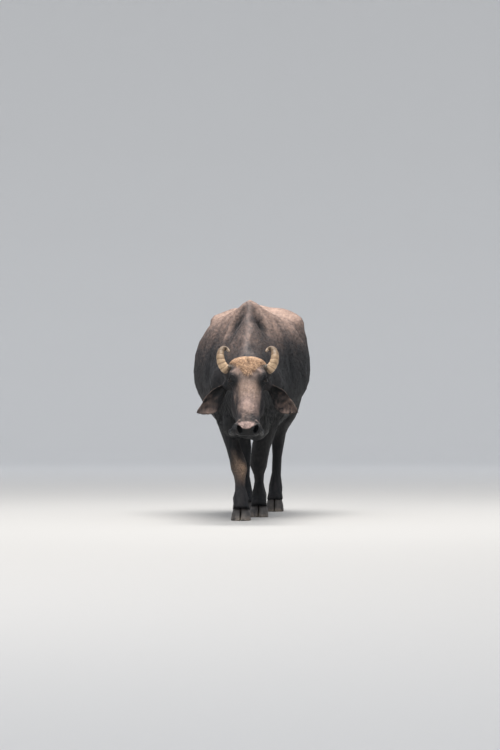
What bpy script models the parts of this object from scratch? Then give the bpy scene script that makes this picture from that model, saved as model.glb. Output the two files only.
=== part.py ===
"""A life-size domestic water buffalo, walking with its head held low.

The animal faces -Y, +Z is up and +X is its left. The body is modelled whole, as a loft with
muscle and bone masses laid on it, and then parted with thin cuts into head, neck, torso, legs
and tail. Ears, horns, eyes, claws and dewclaws are made apart and seated on it.
"""

import math
import random

import bmesh
import bpy
import numpy as np
from mathutils import Matrix, Vector
from mathutils.bvhtree import BVHTree

# Driving sizes, in metres
WITHERS_HEIGHT = 1.322
CROUP_HEIGHT = 1.326
TRUNK_HALF_WIDTH = 0.362
HEAD_LENGTH = 0.492
FOREHEAD_HALF_WIDTH = 0.118
MUZZLE_HALF_WIDTH = 0.086
EYE_RADIUS = 0.0205
EAR_LENGTH = 0.214
EAR_WIDTH = 0.115
HORN_RADIUS = 0.033
CLAW_LENGTH = 0.112
CLAW_WIDTH = 0.051
CORONET_HEIGHT = 0.070
CORONET_SLANT = -14
DEWCLAW_LENGTH = 0.034
TAIL_RADIUS = 0.032
SWITCH_LENGTH = 0.165
FORELOCK_LENGTH = 0.052
GAP = 0.0004
SEAT_GAP = 0.0006

# The head's own frame: its origin on the crown, u down the face, v out of the forehead
CROWN = Vector((0.050, -0.865, 0.945))
FACE_TILT = math.radians(32)
HEAD_YAW = math.radians(4.5)
EYE_U, EYE_V, EYE_X = 0.129, -0.038, 0.0930
EAR_U, EAR_V = 0.098, -0.128

# The resolution of the modelled form
CLAY_VOXEL = 0.0085
BARREL_SMOOTHING = 15
BODY_FACES = 3900
LEG_FACES = 6000
HEAD_FACES = 9800

# Joints of each leg from the top down: shoulder or hip, elbow or stifle, knee or hock, fetlock, foot
LEGS = {
    "foreleg_right": ((-0.170, -0.27, 0.86), (-0.140, -0.19, 0.62), (-0.038, -0.325, 0.310),
                      (-0.026, -0.395, 0.125), (-0.022, -0.420, 0.045)),
    "foreleg_left": ((0.170, -0.24, 0.86), (0.140, -0.13, 0.62), (0.052, 0.010, 0.325),
                     (0.046, 0.132, 0.125), (0.046, 0.112, 0.045)),
    "hindleg_right": ((-0.190, 0.77, 1.00), (-0.200, 0.60, 0.70), (-0.108, 0.905, 0.455),
                      (-0.088, 0.805, 0.130), (-0.084, 0.765, 0.045)),
    "hindleg_left": ((0.190, 0.79, 1.00), (0.205, 0.68, 0.70), (0.106, 1.045, 0.480),
                     (0.088, 1.055, 0.150), (0.086, 1.015, 0.055)),
}
# How far each foot is tipped on to its toes, in degrees
FOOT_PITCH = {"foreleg_right": 0, "foreleg_left": 0, "hindleg_right": 0, "hindleg_left": 14}

COLOURS = {
    "hide": ((0.060, 0.050, 0.048), 0.62),
    "horn": ((0.420, 0.330, 0.200), 0.45),
    "hoof": ((0.050, 0.043, 0.040), 0.50),
    "eye": ((0.012, 0.008, 0.006), 0.08),
    "tail_hair": ((0.040, 0.032, 0.030), 0.75),
}


def clear_scene():
    for obj in list(bpy.data.objects):
        bpy.data.objects.remove(obj)


def material(name):
    found = bpy.data.materials.get(name)
    if found:
        return found
    colour, roughness = COLOURS[name]
    found = bpy.data.materials.new(name)
    found.use_nodes = True
    shader = found.node_tree.nodes["Principled BSDF"]
    shader.inputs["Base Color"].default_value = (*colour, 1)
    shader.inputs["Roughness"].default_value = roughness
    shader.inputs["Metallic"].default_value = 0
    return found


def link(name, mesh, group):
    obj = bpy.data.objects.new(name, mesh)
    bpy.data.collections[group].objects.link(obj)
    if group == "cutters":
        obj.hide_render = True
        obj.display_type = "WIRE"
    return obj


def mesh_from(bm, name):
    mesh = bpy.data.meshes.new(name)
    bmesh.ops.recalc_face_normals(bm, faces=bm.faces)
    bm.to_mesh(mesh)
    bm.free()
    return mesh


def smooth_rows(rows, per_span):
    """The rows of a table with more between them, on a smooth curve through them all."""
    rows = np.array(rows, float)
    ends = np.vstack([2 * rows[0] - rows[1], rows, 2 * rows[-1] - rows[-2]])
    found = []
    for i in range(len(rows) - 1):
        a, b, c, d = ends[i:i + 4]
        for k in range(per_span):
            t = k / per_span
            bend = 2 * a - 5 * b + 4 * c - d + t * (3 * (b - c) + d - a)
            found.append(b + 0.5 * t * (c - a + t * bend))
    found.append(rows[-1])
    return found


def loft_into(bm, rings):
    """Adds a closed loft through rings of points, with flat ends."""
    loops = [[bm.verts.new(point) for point in ring] for ring in rings]
    count = len(loops[0])
    for low, high in zip(loops, loops[1:]):
        for i in range(count):
            j = (i + 1) % count
            bm.faces.new((low[i], low[j], high[j], high[i]))
    bm.faces.new(loops[0])
    bm.faces.new(loops[-1])


def powered(value, power):
    return math.copysign(abs(value) ** power, value)


def egg(half_width, up, down, roof, belly, count):
    """A closed egg outline: x across, z from the widest level, roof and belly setting how full it is."""
    points = []
    for i in range(count):
        angle = 2 * math.pi * i / count
        s, c = math.sin(angle), math.cos(angle)
        x = half_width * powered(s, roof if c > 0 else belly)
        points.append((x, up * c if c > 0 else down * c))
    return points


def ellipsoid_into(bm, centre, radii, turn=(0, 0, 0)):
    turned = Matrix.Identity(4)
    for angle, axis in zip(turn, "XYZ"):
        turned = Matrix.Rotation(math.radians(angle), 4, axis) @ turned
    matrix = Matrix.Translation(centre) @ turned @ Matrix.Diagonal((*radii, 1))
    bmesh.ops.create_uvsphere(bm, u_segments=20, v_segments=14, radius=1, matrix=matrix)


def mirrored(centre, turn=(0, 0, 0)):
    """The same place and turn on the other side of the animal."""
    return (-centre[0], *centre[1:]), (turn[0], -turn[1], -turn[2])


def head_turn(x, y, z):
    """A direction given as if the head looked straight along -Y."""
    return Matrix.Rotation(HEAD_YAW, 3, "Z") @ Vector((x, y, z))


def face_point(x, u, v):
    """A point given in the head's own frame."""
    down = head_turn(0, -math.sin(FACE_TILT), -math.cos(FACE_TILT))
    out = head_turn(0, -math.cos(FACE_TILT), math.sin(FACE_TILT))
    return CROWN + head_turn(x, 0, 0) + down * u + out * v


def head_matrix():
    """Turns the head's frame (x, v, u) into the animal's."""
    axes = [face_point(*unit) - CROWN for unit in ((1, 0, 0), (0, 0, 1), (0, 1, 0))]
    return Matrix.Translation(CROWN) @ Matrix(axes).transposed().to_4x4()


# Trunk and neck: place along the body, top, bottom, half-width, widest level, roof and belly
# fullness, and how far that part sways to the animal's left
def trunk_rows():
    w, top, croup = TRUNK_HALF_WIDTH, WITHERS_HEIGHT, CROUP_HEIGHT
    return (
        (-0.840, 0.925, 0.700, 0.085, 0.810, 0.90, 0.90, 0.050),
        (-0.740, 0.978, 0.650, 0.098, 0.810, 0.95, 0.90, 0.042),
        (-0.600, 1.048, 0.600, 0.112, 0.815, 1.15, 0.90, 0.030),
        (-0.470, 1.118, 0.555, 0.138, 0.810, 1.35, 0.85, 0.020),
        (-0.340, 1.188, 0.520, 0.176, 0.800, 1.80, 0.80, 0.011),
        (-0.200, 1.255, 0.500, 0.206, 0.790, 2.30, 0.80, 0.004),
        (-0.060, top - 0.008, 0.500, 0.238, 0.800, 1.90, 0.85, 0.000),
        (0.080, top - 0.022, 0.500, 0.290, 0.825, 1.15, 0.92, -0.004),
        (0.220, top - 0.055, 0.500, 0.334, 0.850, 0.80, 1.15, -0.012),
        (0.360, top - 0.068, 0.510, 0.356, 0.870, 0.62, 1.48, -0.020),
        (0.480, top - 0.060, 0.525, w, 0.885, 0.52, 1.56, -0.022),
        (0.600, top - 0.042, 0.550, 0.348, 0.900, 0.44, 1.42, -0.010),
        (0.700, croup - 0.024, 0.590, 0.314, 0.930, 0.50, 1.05, 0.000),
        (0.800, croup - 0.006, 0.640, 0.262, 0.960, 0.75, 0.95, 0.000),
        (0.900, croup - 0.020, 0.700, 0.215, 0.980, 0.90, 0.90, 0.000),
        (0.985, croup - 0.072, 0.770, 0.160, 0.990, 0.95, 0.90, 0.000),
        (1.040, croup - 0.150, 0.850, 0.085, 1.000, 1.00, 0.90, 0.000),
    )


def trunk_into(bm):
    rings = []
    for y, top, bottom, wide, level, roof, belly, sway in smooth_rows(trunk_rows(), 3):
        outline = egg(wide, top - level, level - bottom, roof, belly, 40)
        rings.append([(x + sway, y, level + z) for x, z in outline])
    loft_into(bm, rings)


def body_masses_into(bm):
    """Muscles and bones of the trunk: place, radii and turn, made on both sides."""
    paired = (
        ((0.122, -0.050, 1.115), (0.034, 0.088, 0.180), (-16, -26, 0)),  # shoulder blade
        ((0.128, -0.085, 1.120), (0.026, 0.030, 0.170), (-20, -26, 0)),  # its ridge
        ((0.157, -0.135, 0.925), (0.050, 0.105, 0.200), (6, -14, 0)),    # shoulder muscle
        ((0.158, -0.300, 0.800), (0.058, 0.085, 0.120), (12, 0, 0)),     # point of the shoulder
        ((0.170, -0.080, 0.750), (0.058, 0.120, 0.150), (-20, -8, 0)),   # upper arm
        ((0.070, -0.300, 0.570), (0.075, 0.150, 0.080), (0, 0, 0)),      # breast
        ((0.246, 0.640, 1.190), (0.064, 0.100, 0.082), (0, 14, 0)),      # hook bone
        ((0.150, 0.700, 1.246), (0.130, 0.100, 0.056), (0, 10, 0)),      # hook ridge
        ((0.205, 0.760, 1.130), (0.095, 0.140, 0.120), (0, 0, 0)),       # rump
        ((0.268, 0.600, 1.080), (0.056, 0.110, 0.110), (0, 0, 0)),       # flank under the hook
        ((0.195, 0.790, 1.000), (0.100, 0.165, 0.220), (16, 0, 0)),      # thigh
        ((0.135, 0.925, 0.930), (0.088, 0.105, 0.230), (-4, 0, 0)),      # rear of the thigh
        ((0.130, 0.900, 0.760), (0.072, 0.105, 0.150), (10, 0, 0)),      # hamstring
        ((0.100, 0.985, 1.150), (0.045, 0.055, 0.060), (0, 0, 0)),       # pin bone
        ((0.220, 0.625, 0.790), (0.070, 0.090, 0.150), (8, 0, 0)),       # flank over the stifle
    )
    for centre, radii, turn in paired:
        ellipsoid_into(bm, centre, radii, turn)
        centre, turn = mirrored(centre, turn)
        ellipsoid_into(bm, centre, radii, turn)
    middle = (
        ((0, -0.010, WITHERS_HEIGHT - 0.064), (0.027, 0.190, 0.070), (2, 0, 0)),  # withers
        ((0, 0.820, CROUP_HEIGHT - 0.055), (0.060, 0.140, 0.060), (0, 0, 0)),     # croup
        ((0.016, -0.440, 0.590), (0.066, 0.120, 0.100), (24, 0, 0)),              # brisket
        ((0.026, -0.560, 1.035), (0.033, 0.280, 0.052), (28, 0, -4)),             # neck crest
        ((0.010, -0.270, 1.174), (0.029, 0.190, 0.052), (25, 0, -3)),             # crest to withers
        ((0, 0.740, 0.620), (0.110, 0.120, 0.070), (-20, 0, 0)),                  # groin
    )
    for centre, radii, turn in middle:
        ellipsoid_into(bm, centre, radii, turn)


# Head: place down the face, half-width, forehead side, jaw side, level of the widest part, fullness
def head_rows():
    wide, muzzle, end = FOREHEAD_HALF_WIDTH, MUZZLE_HALF_WIDTH, HEAD_LENGTH
    return (
        (-0.045, 0.075, -0.060, -0.155, -0.105, 0.80, 0.85),
        (-0.020, 0.100, -0.025, -0.180, -0.090, 0.66, 0.80),
        (0.020, wide - 0.004, -0.004, -0.205, -0.080, 0.52, 0.80),
        (0.070, wide, 0.008, -0.222, -0.075, 0.48, 0.80),
        (0.125, wide - 0.022, 0.008, -0.232, -0.075, 0.52, 0.80),
        (0.180, 0.083, 0.003, -0.228, -0.080, 0.58, 0.80),
        (0.240, 0.076, -0.002, -0.208, -0.080, 0.58, 0.80),
        (0.310, 0.070, -0.005, -0.176, -0.080, 0.58, 0.75),
        (0.370, 0.070, -0.007, -0.154, -0.080, 0.58, 0.72),
        (0.415, 0.076, -0.008, -0.142, -0.080, 0.58, 0.68),
        (0.450, muzzle, -0.013, -0.136, -0.086, 0.62, 0.62),
        (end - 0.022, muzzle - 0.008, -0.027, -0.126, -0.086, 0.66, 0.62),
        (end, 0.056, -0.054, -0.108, -0.084, 0.76, 0.74),
    )


def head_into(bm):
    rings = []
    for u, wide, top, bottom, level, roof, belly in smooth_rows(head_rows(), 3):
        outline = egg(wide, top - level, level - bottom, roof, belly, 36)
        rings.append([face_point(x, u, level + v) for x, v in outline])
    loft_into(bm, rings)


def head_masses_into(bm):
    """Bones, muscles and lips of the head in its own frame: x, u, v, then radii across, out and down."""
    paired = (
        ((0.080, 0.124, -0.040), (0.033, 0.034, 0.044)),   # eye socket
        ((0.078, 0.098, -0.014), (0.036, 0.022, 0.032)),   # brow
        ((0.066, 0.215, -0.150), (0.034, 0.072, 0.095)),   # cheek
        ((0.114, 0.058, -0.060), (0.032, 0.038, 0.036)),   # horn base
        ((0.108, 0.103, -0.122), (0.038, 0.036, 0.038)),   # ear base
        ((0.067, 0.448, -0.048), (0.026, 0.028, 0.036)),   # nostril wing
        ((0.079, 0.452, -0.094), (0.031, 0.034, 0.044)),   # upper lip
        ((0.066, 0.200, -0.052), (0.020, 0.022, 0.070)),   # face ridge
    )
    matrix = head_matrix()
    for (x, u, v), radii in paired:
        for side in (1, -1):
            place = matrix @ Matrix.Translation((side * x, v, u)) @ Matrix.Diagonal((*radii, 1))
            bmesh.ops.create_uvsphere(bm, u_segments=16, v_segments=12, radius=1, matrix=place)
    middle = (
        ((0, 0.035, -0.030), (0.100, 0.034, 0.050)),       # poll
        ((0, 0.440, -0.132), (0.040, 0.024, 0.045)),       # chin
        ((0, 0.300, -0.030), (0.034, 0.028, 0.130)),       # bridge of the nose
    )
    for (x, u, v), radii in middle:
        place = matrix @ Matrix.Translation((x, v, u)) @ Matrix.Diagonal((*radii, 1))
        bmesh.ops.create_uvsphere(bm, u_segments=16, v_segments=12, radius=1, matrix=place)


# Each leg, down its joints: place on the chain, half-width, half-depth, and shift towards the back
FORELEG_ROWS = (
    (0.00, 0.058, 0.110, 0.000),
    (0.55, 0.060, 0.112, 0.010),
    (1.00, 0.058, 0.096, 0.014),
    (1.30, 0.050, 0.076, 0.008),
    (1.62, 0.042, 0.052, 0.002),
    (1.86, 0.045, 0.045, -0.003),
    (2.00, 0.049, 0.048, -0.006),
    (2.12, 0.045, 0.043, 0.000),
    (2.35, 0.031, 0.033, 0.004),
    (2.65, 0.030, 0.034, 0.004),
    (2.88, 0.040, 0.043, 0.003),
    (3.00, 0.046, 0.047, 0.002),
    (3.35, 0.043, 0.042, -0.002),
    (3.70, 0.054, 0.050, -0.004),
    (4.00, 0.058, 0.054, -0.004),
)
HINDLEG_ROWS = (
    (0.00, 0.080, 0.150, 0.000),
    (0.60, 0.085, 0.155, 0.010),
    (1.00, 0.072, 0.135, 0.014),
    (1.30, 0.060, 0.104, 0.012),
    (1.62, 0.045, 0.072, 0.012),
    (1.86, 0.040, 0.060, 0.012),
    (2.00, 0.041, 0.058, 0.008),
    (2.18, 0.037, 0.047, 0.004),
    (2.40, 0.029, 0.036, 0.002),
    (2.70, 0.029, 0.035, 0.002),
    (2.90, 0.038, 0.042, 0.002),
    (3.00, 0.044, 0.046, 0.002),
    (3.35, 0.042, 0.042, -0.002),
    (3.70, 0.051, 0.049, -0.004),
    (4.00, 0.055, 0.052, -0.004),
)


def leg_rows(name):
    return FORELEG_ROWS if name.startswith("fore") else HINDLEG_ROWS


def along(joints, place):
    """A point on the chain of joints, rounded a little at each."""
    place = min(max(place, 0), len(joints) - 1)
    round_off = 0.18
    nearest = min(max(round(place), 1), len(joints) - 2)
    away = place - nearest
    if abs(away) >= round_off:
        low = min(int(place), len(joints) - 2)
        return Vector(joints[low]).lerp(Vector(joints[low + 1]), place - low)
    before = Vector(joints[nearest]).lerp(Vector(joints[nearest - 1]), round_off)
    after = Vector(joints[nearest]).lerp(Vector(joints[nearest + 1]), round_off)
    t = (away + round_off) / (2 * round_off)
    return before.lerp(Vector(joints[nearest]), t).lerp(Vector(joints[nearest]).lerp(after, t), t)


def leg_frame(joints, place):
    """Where the leg is at this place, with its sideways and backward directions there."""
    step = 0.06
    ahead = (along(joints, place + step) - along(joints, place - step)).normalized()
    side = (Vector((1, 0, 0)) - ahead * ahead.x).normalized()
    return along(joints, place), side, side.cross(ahead)


def leg_into(bm, name):
    joints = LEGS[name]
    rings = []
    for place, wide, deep, shift in smooth_rows(leg_rows(name), 3):
        centre, side, back = leg_frame(joints, place)
        ring = []
        for i in range(20):
            angle = 2 * math.pi * i / 20
            across, along_back = wide * math.sin(angle), deep * math.cos(angle) + shift
            ring.append(centre + side * across + back * along_back)
        rings.append(ring)
    loft_into(bm, rings)


def leg_masses_into(bm, name):
    """Knobs at the joints: chain place, sideways and backward shift, radii."""
    fore = (
        (0.95, 0.0, 0.070, (0.040, 0.042, 0.055)),    # elbow
        (1.97, 0.0, 0.030, (0.034, 0.030, 0.040)),    # back of the knee
        (2.97, 0.0, 0.030, (0.038, 0.026, 0.034)),    # back of the fetlock
    )
    hind = (
        (0.95, 0.0, -0.080, (0.060, 0.055, 0.075)),   # stifle
        (1.93, 0.0, 0.062, (0.026, 0.028, 0.055)),    # point of the hock
        (2.97, 0.0, 0.028, (0.036, 0.026, 0.034)),    # back of the fetlock
    )
    for place, across, back_by, radii in fore if name.startswith("fore") else hind:
        centre, side, back = leg_frame(LEGS[name], place)
        ellipsoid_into(bm, centre + side * across + back * back_by, radii)


TAIL_PATH = (
    (0.000, 0.920, 1.215), (0.000, 1.005, 1.185), (0.000, 1.072, 1.090), (0.002, 1.098, 0.960),
    (0.004, 1.108, 0.800), (0.002, 1.112, 0.660), (-0.004, 1.108, 0.540), (-0.010, 1.100, 0.460),
)


def tube_rings(path, radii, count, flat=1.0):
    """Rings along a path, each turned only as much as the path turns."""
    points = [Vector(p) for p in path]
    side = Vector((1, 0, 0))
    rings = []
    for i, point in enumerate(points):
        ahead = (points[min(i + 1, len(points) - 1)] - points[max(i - 1, 0)]).normalized()
        side = (side - ahead * side.dot(ahead)).normalized()
        other = ahead.cross(side)
        angles = [2 * math.pi * k / count for k in range(count)]
        r = radii[i]
        rings.append([point + side * (r * math.cos(a)) + other * (r * flat * math.sin(a)) for a in angles])
    return rings


def tail_into(bm):
    path = [Vector(p) for p in smooth_rows(TAIL_PATH, 4)]
    last = len(path) - 1
    radii = [TAIL_RADIUS * (1 - 0.62 * (i / last) ** 0.7) for i in range(last + 1)]
    loft_into(bm, tube_rings(path, radii, 14))


def evaluated_copy(obj, name):
    graph = bpy.context.evaluated_depsgraph_get()
    mesh = bpy.data.meshes.new_from_object(obj.evaluated_get(graph))
    mesh.name = name
    return mesh


def settle(obj):
    """Makes an object's modifiers part of its mesh."""
    bpy.context.view_layer.update()
    mesh = evaluated_copy(obj, obj.name)
    obj.modifiers.clear()
    obj.data = mesh
    return obj


def clay():
    """The whole animal without ears, horns, eyes and feet, as one smooth closed form."""
    bm = bmesh.new()
    trunk_into(bm)
    body_masses_into(bm)
    head_into(bm)
    head_masses_into(bm)
    tail_into(bm)
    for name in LEGS:
        leg_into(bm, name)
        leg_masses_into(bm, name)
    obj = link("clay", mesh_from(bm, "clay"), "cutters")
    remesh = obj.modifiers.new("fuse", "REMESH")
    remesh.mode = "VOXEL"
    remesh.voxel_size = CLAY_VOXEL
    settle(obj)
    barrel = obj.vertex_groups.new(name="barrel")
    for vert in obj.data.vertices:
        x, y, z = vert.co
        weight = min(1, max(0, (z - 0.56) / 0.12), max(0, (y + 0.76) / 0.14))
        if weight > 0 and (y < 1.03 or z > 1.20):
            barrel.add([vert.index], weight, "REPLACE")
    for group, rounds in (("", 7), ("barrel", BARREL_SMOOTHING)):
        smooth = obj.modifiers.new("soften", "SMOOTH")
        smooth.factor = 0.5
        smooth.iterations = rounds
        smooth.vertex_group = group
    return settle(obj)


def thinned(source, name, faces, group="cutters"):
    """A copy of a form with about so many triangles."""
    obj = link(name, source.data.copy(), group)
    decimate = obj.modifiers.new("thin", "DECIMATE")
    decimate.ratio = faces / (2 * len(source.data.polygons))
    return settle(obj)


def triangulated(obj):
    """Makes every face flat, so that cuts meet it where the finished surface does."""
    bm = bmesh.new()
    bm.from_mesh(obj.data)
    bmesh.ops.triangulate(bm, faces=bm.faces)
    bm.to_mesh(obj.data)
    bm.free()


def boolean(obj, other, operation):
    triangulated(obj)
    triangulated(other)
    modifier = obj.modifiers.new("cut", "BOOLEAN")
    modifier.operation = operation
    modifier.object = other
    modifier.solver = "EXACT"
    return settle(obj)


def largest_body(obj):
    """Drops every loose scrap and keeps the largest closed surface."""
    bm = bmesh.new()
    bm.from_mesh(obj.data)
    left = set(bm.verts)
    bodies = []
    while left:
        body = [left.pop()]
        for vert in body:
            for edge in vert.link_edges:
                other = edge.other_vert(vert)
                if other in left:
                    left.remove(other)
                    body.append(other)
        bodies.append(body)
    bodies.sort(key=len)
    bmesh.ops.delete(bm, geom=[v for body in bodies[:-1] for v in body], context="VERTS")
    bm.to_mesh(obj.data)
    bm.free()
    return obj


def region(name, planes):
    """A closed box cut down by planes, each a point and a normal out of the region."""
    bm = bmesh.new()
    bmesh.ops.create_cube(bm, size=5.0)
    for point, normal in planes:
        geom = bm.verts[:] + bm.edges[:] + bm.faces[:]
        cut = bmesh.ops.bisect_plane(bm, geom=geom, plane_co=point, plane_no=normal, clear_outer=True)
        edges = [g for g in cut["geom_cut"] if isinstance(g, bmesh.types.BMEdge)]
        bmesh.ops.contextual_create(bm, geom=edges)
    bmesh.ops.triangulate(bm, faces=bm.faces)
    return link(name, mesh_from(bm, name), "cutters")


HEAD_CUT = (Vector((0.04, -0.775, 0.860)), Vector((-0.06, 1, 0.35)).normalized())
NECK_CUT = (Vector((0, -0.365, 0.950)), Vector((0, 1, -0.10)).normalized())
LEG_TOP = {"fore": 0.655, "hind": 0.700}
LEG_DEPTH = {"fore": 0.150, "hind": 0.240}
TAIL_CUT = (Vector((0, 1.052, 1.120)), Vector((0, -1, 0)))


def shifted(plane, by):
    point, normal = plane
    return point + normal * by, normal


def flipped(plane):
    return plane[0], -plane[1]


def leg_planes(name, grow):
    """The planes round a leg: its top, its inner side, and one before and one behind it."""
    side = 1 if name.endswith("left") else -1
    kind = name[:4]
    fore = kind == "fore"
    above, foot = Vector(LEGS[name][1]), Vector(LEGS[name][-1])
    lean = Vector((side * 0.30, -0.10 if fore else 0.22, 1)).normalized()
    run = foot - above
    before = Vector((0, run.z, -run.y)).normalized()
    middle = above + Vector((0, 0 if fore else 0.13, 0))
    inner = Vector((-side, 0, 0.12 if fore else 0.04)).normalized()
    planes = [
        (Vector((side * 0.15, -0.15 if fore else 0.80, LEG_TOP[kind])), lean),
        (Vector((side * 0.020, 0, 0.580)), inner),
        (middle + before * LEG_DEPTH[kind], before),
        (middle - before * LEG_DEPTH[kind], -before),
    ]
    return [shifted(plane, grow) for plane in planes]


def neck_planes(grow):
    """The planes behind and under the neck; the throat below them stays with the trunk."""
    under = Vector((0, 0.25, -1)).normalized()
    return [shifted(plane, grow) for plane in (NECK_CUT, (Vector((0, -0.36, 0.665)), under))]


def tail_planes(grow):
    """The planes round the tail: in front of it, on both sides and under it."""
    sides = [(Vector((x, 0, 0)), Vector((x, 0, 0)).normalized()) for x in (0.042, -0.042)]
    return [shifted(plane, grow) for plane in [TAIL_CUT, *sides]]


def foot_plane(name):
    """The slanting plane where the leg ends and the claws begin, facing down."""
    place = foot_matrix(name)
    slant = math.radians(CORONET_SLANT)
    normal = place.to_3x3() @ Vector((0, math.sin(slant), -math.cos(slant)))
    return place @ Vector((0, 0, CORONET_HEIGHT)), normal


def cut_from(source, name, planes):
    obj = link(name, source.data.copy(), "buffalo")
    cutter = region(name + "_region", planes)
    boolean(obj, cutter, "INTERSECT")
    return largest_body(obj)


def finish(obj, finish_name, sharp=50):
    mesh = obj.data
    mesh.materials.clear()
    mesh.materials.append(material(finish_name))
    mesh.shade_smooth()
    mesh.set_sharp_from_angle(angle=math.radians(sharp))
    return obj


def grown(obj, by):
    """A cutter a little larger than a node, so that what it cuts stays clear of the node."""
    mesh = obj.data.copy()
    count = len(mesh.vertices)
    points = np.empty(count * 3, np.float32)
    normals = np.empty(count * 3, np.float32)
    mesh.vertices.foreach_get("co", points)
    mesh.vertices.foreach_get("normal", normals)
    mesh.vertices.foreach_set("co", points + normals * by)
    mesh.update()
    return link(obj.name + "_grown", mesh, "cutters")


def seat(obj, host):
    """Cuts a piece back to its host's surface."""
    cutter = grown(host, SEAT_GAP)
    boolean(obj, cutter, "DIFFERENCE")
    bpy.data.objects.remove(cutter)
    return largest_body(obj)


def eye_place(side):
    centre = face_point(side * EYE_X, EYE_U, EYE_V)
    out = head_turn(side * 0.74, -0.66, 0.12).normalized()
    return centre, out


def ball(name, centre, radius, group, segments=20):
    bm = bmesh.new()
    rows = segments * 3 // 4
    place = Matrix.Translation(centre)
    bmesh.ops.create_uvsphere(bm, u_segments=segments, v_segments=rows, radius=radius, matrix=place)
    return link(name, mesh_from(bm, name), group)


def almond(name, side):
    """A prism in the shape of the opening between the lids, pointing out of the eye."""
    centre, out = eye_place(side)
    down = face_point(0, 1, 0) - face_point(0, 0, 0)
    along_lid = (down - out * down.dot(out)).normalized()
    along_lid = (along_lid + head_turn(-side * 0.5, -0.9, 0.45)).normalized()
    along_lid = (along_lid - out * along_lid.dot(out)).normalized()
    up = out.cross(along_lid) * (1 if side > 0 else -1)
    if up.z < 0:
        up = -up
    half_long, half_high = 0.0192, 0.0112
    rings = []
    for reach in (0.006, 0.050):
        ring = []
        for i in range(14):
            angle = 2 * math.pi * i / 14
            c, s = math.cos(angle), math.sin(angle)
            rim = along_lid * (half_long * c) + up * (half_high * powered(s, 1.25))
            ring.append(centre + out * reach + rim)
        rings.append(ring)
    bm = bmesh.new()
    loft_into(bm, rings)
    return link(name, mesh_from(bm, name), "cutters")


def make_eyes_and_lids(head):
    """Sets each eye in the head behind lids that leave an almond opening."""
    lid_thickness = 0.0030
    for side, tag in ((1, "left"), (-1, "right")):
        centre, _ = eye_place(side)
        lids = ball("lids_" + tag, centre, EYE_RADIUS + lid_thickness, "cutters")
        boolean(head, lids, "UNION")
        opening = almond("opening_" + tag, side)
        boolean(head, opening, "DIFFERENCE")
        socket = ball("socket_" + tag, centre, EYE_RADIUS + GAP, "cutters", 16)
        boolean(head, socket, "DIFFERENCE")
        eye = ball("eye_" + tag, centre, EYE_RADIUS, "buffalo", 16)
        finish(eye, "eye")
    return largest_body(head)


def make_nostrils(head):
    """Hollows out the two nostrils, which slant down towards each other."""
    matrix = head_matrix()
    for side in (1, -1):
        turn = Matrix.Rotation(math.radians(-side * 26), 4, "Y")
        place = matrix @ Matrix.Translation((side * 0.046, -0.030, HEAD_LENGTH - 0.032)) @ turn
        hollow = place @ Matrix.Diagonal((0.012, 0.024, 0.025, 1))
        bm = bmesh.new()
        bmesh.ops.create_uvsphere(bm, u_segments=14, v_segments=10, radius=1, matrix=hollow)
        boolean(head, link("nostril", mesh_from(bm, "nostril"), "cutters"), "DIFFERENCE")
    return head


def make_mouth(head):
    """Parts the lips with a thin slot from one corner round the muzzle to the other."""
    line = ((0.335, -0.108), (0.380, -0.114), (0.430, -0.110), (0.470, -0.102), (0.540, -0.098))
    half_slot, reach = 0.0014, 0.14
    corners = ((-reach, -half_slot), (reach, -half_slot), (reach, half_slot), (-reach, half_slot))
    rings = []
    for u, v in smooth_rows(line, 2):
        rings.append([face_point(x, u, v + w) for x, w in corners])
    bm = bmesh.new()
    loft_into(bm, rings)
    return boolean(head, link("mouth", mesh_from(bm, "mouth"), "cutters"), "DIFFERENCE")


def ear_mesh(side):
    """A cupped leaf, rolled into a tube at its root, open towards the front and fullest low down."""
    across_count, along_count = 9, 11
    root = face_point(side * 0.116, EAR_U, EAR_V)
    reach = head_turn(side * 0.70, 0.10, -0.66).normalized()
    front = head_turn(side * 0.18, -0.96, -0.10)
    front = (front - reach * front.dot(reach)).normalized()
    over = front.cross(reach) * side
    shape = smooth_rows((
        (0.42, 285, 0.00), (0.66, 200, 0.00), (0.92, 140, 0.02), (1.04, 112, 0.05), (0.92, 92, 0.05),
        (0.34, 75, -0.15),
    ), 2)
    bm = bmesh.new()
    grid = []
    for i, (width, curl, slip) in enumerate(shape):
        t = i / (along_count - 1)
        curl = math.radians(curl)
        radius = EAR_WIDTH * width / curl
        centre = root + reach * (EAR_LENGTH * t - 0.012) + Vector((0, 0, -0.030 * t * t))
        centre -= over * (EAR_WIDTH * slip)
        row = []
        for k in range(across_count):
            angle = (k / (across_count - 1) - 0.5) * curl
            place = centre + over * (radius * math.sin(angle)) + front * (radius * (0.5 - math.cos(angle)))
            row.append(bm.verts.new(place))
        grid.append(row)
    tip = bm.verts.new(grid[-1][-3].co + reach * 0.020)
    for low, high in zip(grid, grid[1:]):
        for k in range(across_count - 1):
            bm.faces.new((low[k], low[k + 1], high[k + 1], high[k]))
    for k in range(across_count - 1):
        bm.faces.new((grid[-1][k], grid[-1][k + 1], tip))
    return mesh_from(bm, "ear")


def make_ear(side, tag, head):
    obj = link("ear_" + tag, ear_mesh(side), "buffalo")
    solidify = obj.modifiers.new("skin", "SOLIDIFY")
    solidify.thickness = 0.006
    solidify.offset = 0
    settle(obj)
    seat(obj, head)
    return finish(obj, "hide")


def horn_path(side):
    """The horn sweeps out and up from the crown, then hooks back and in at the tip."""
    points = (
        (0.096, 0.015, -0.070), (0.128, 0.000, -0.058), (0.149, -0.004, -0.028), (0.157, 0.008, 0.010),
        (0.153, 0.036, 0.040), (0.140, 0.060, 0.057), (0.120, 0.071, 0.054), (0.104, 0.066, 0.038),
    )
    return [CROWN + head_turn(side * x, y, z) for x, y, z in smooth_rows(points, 3)]


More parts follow.
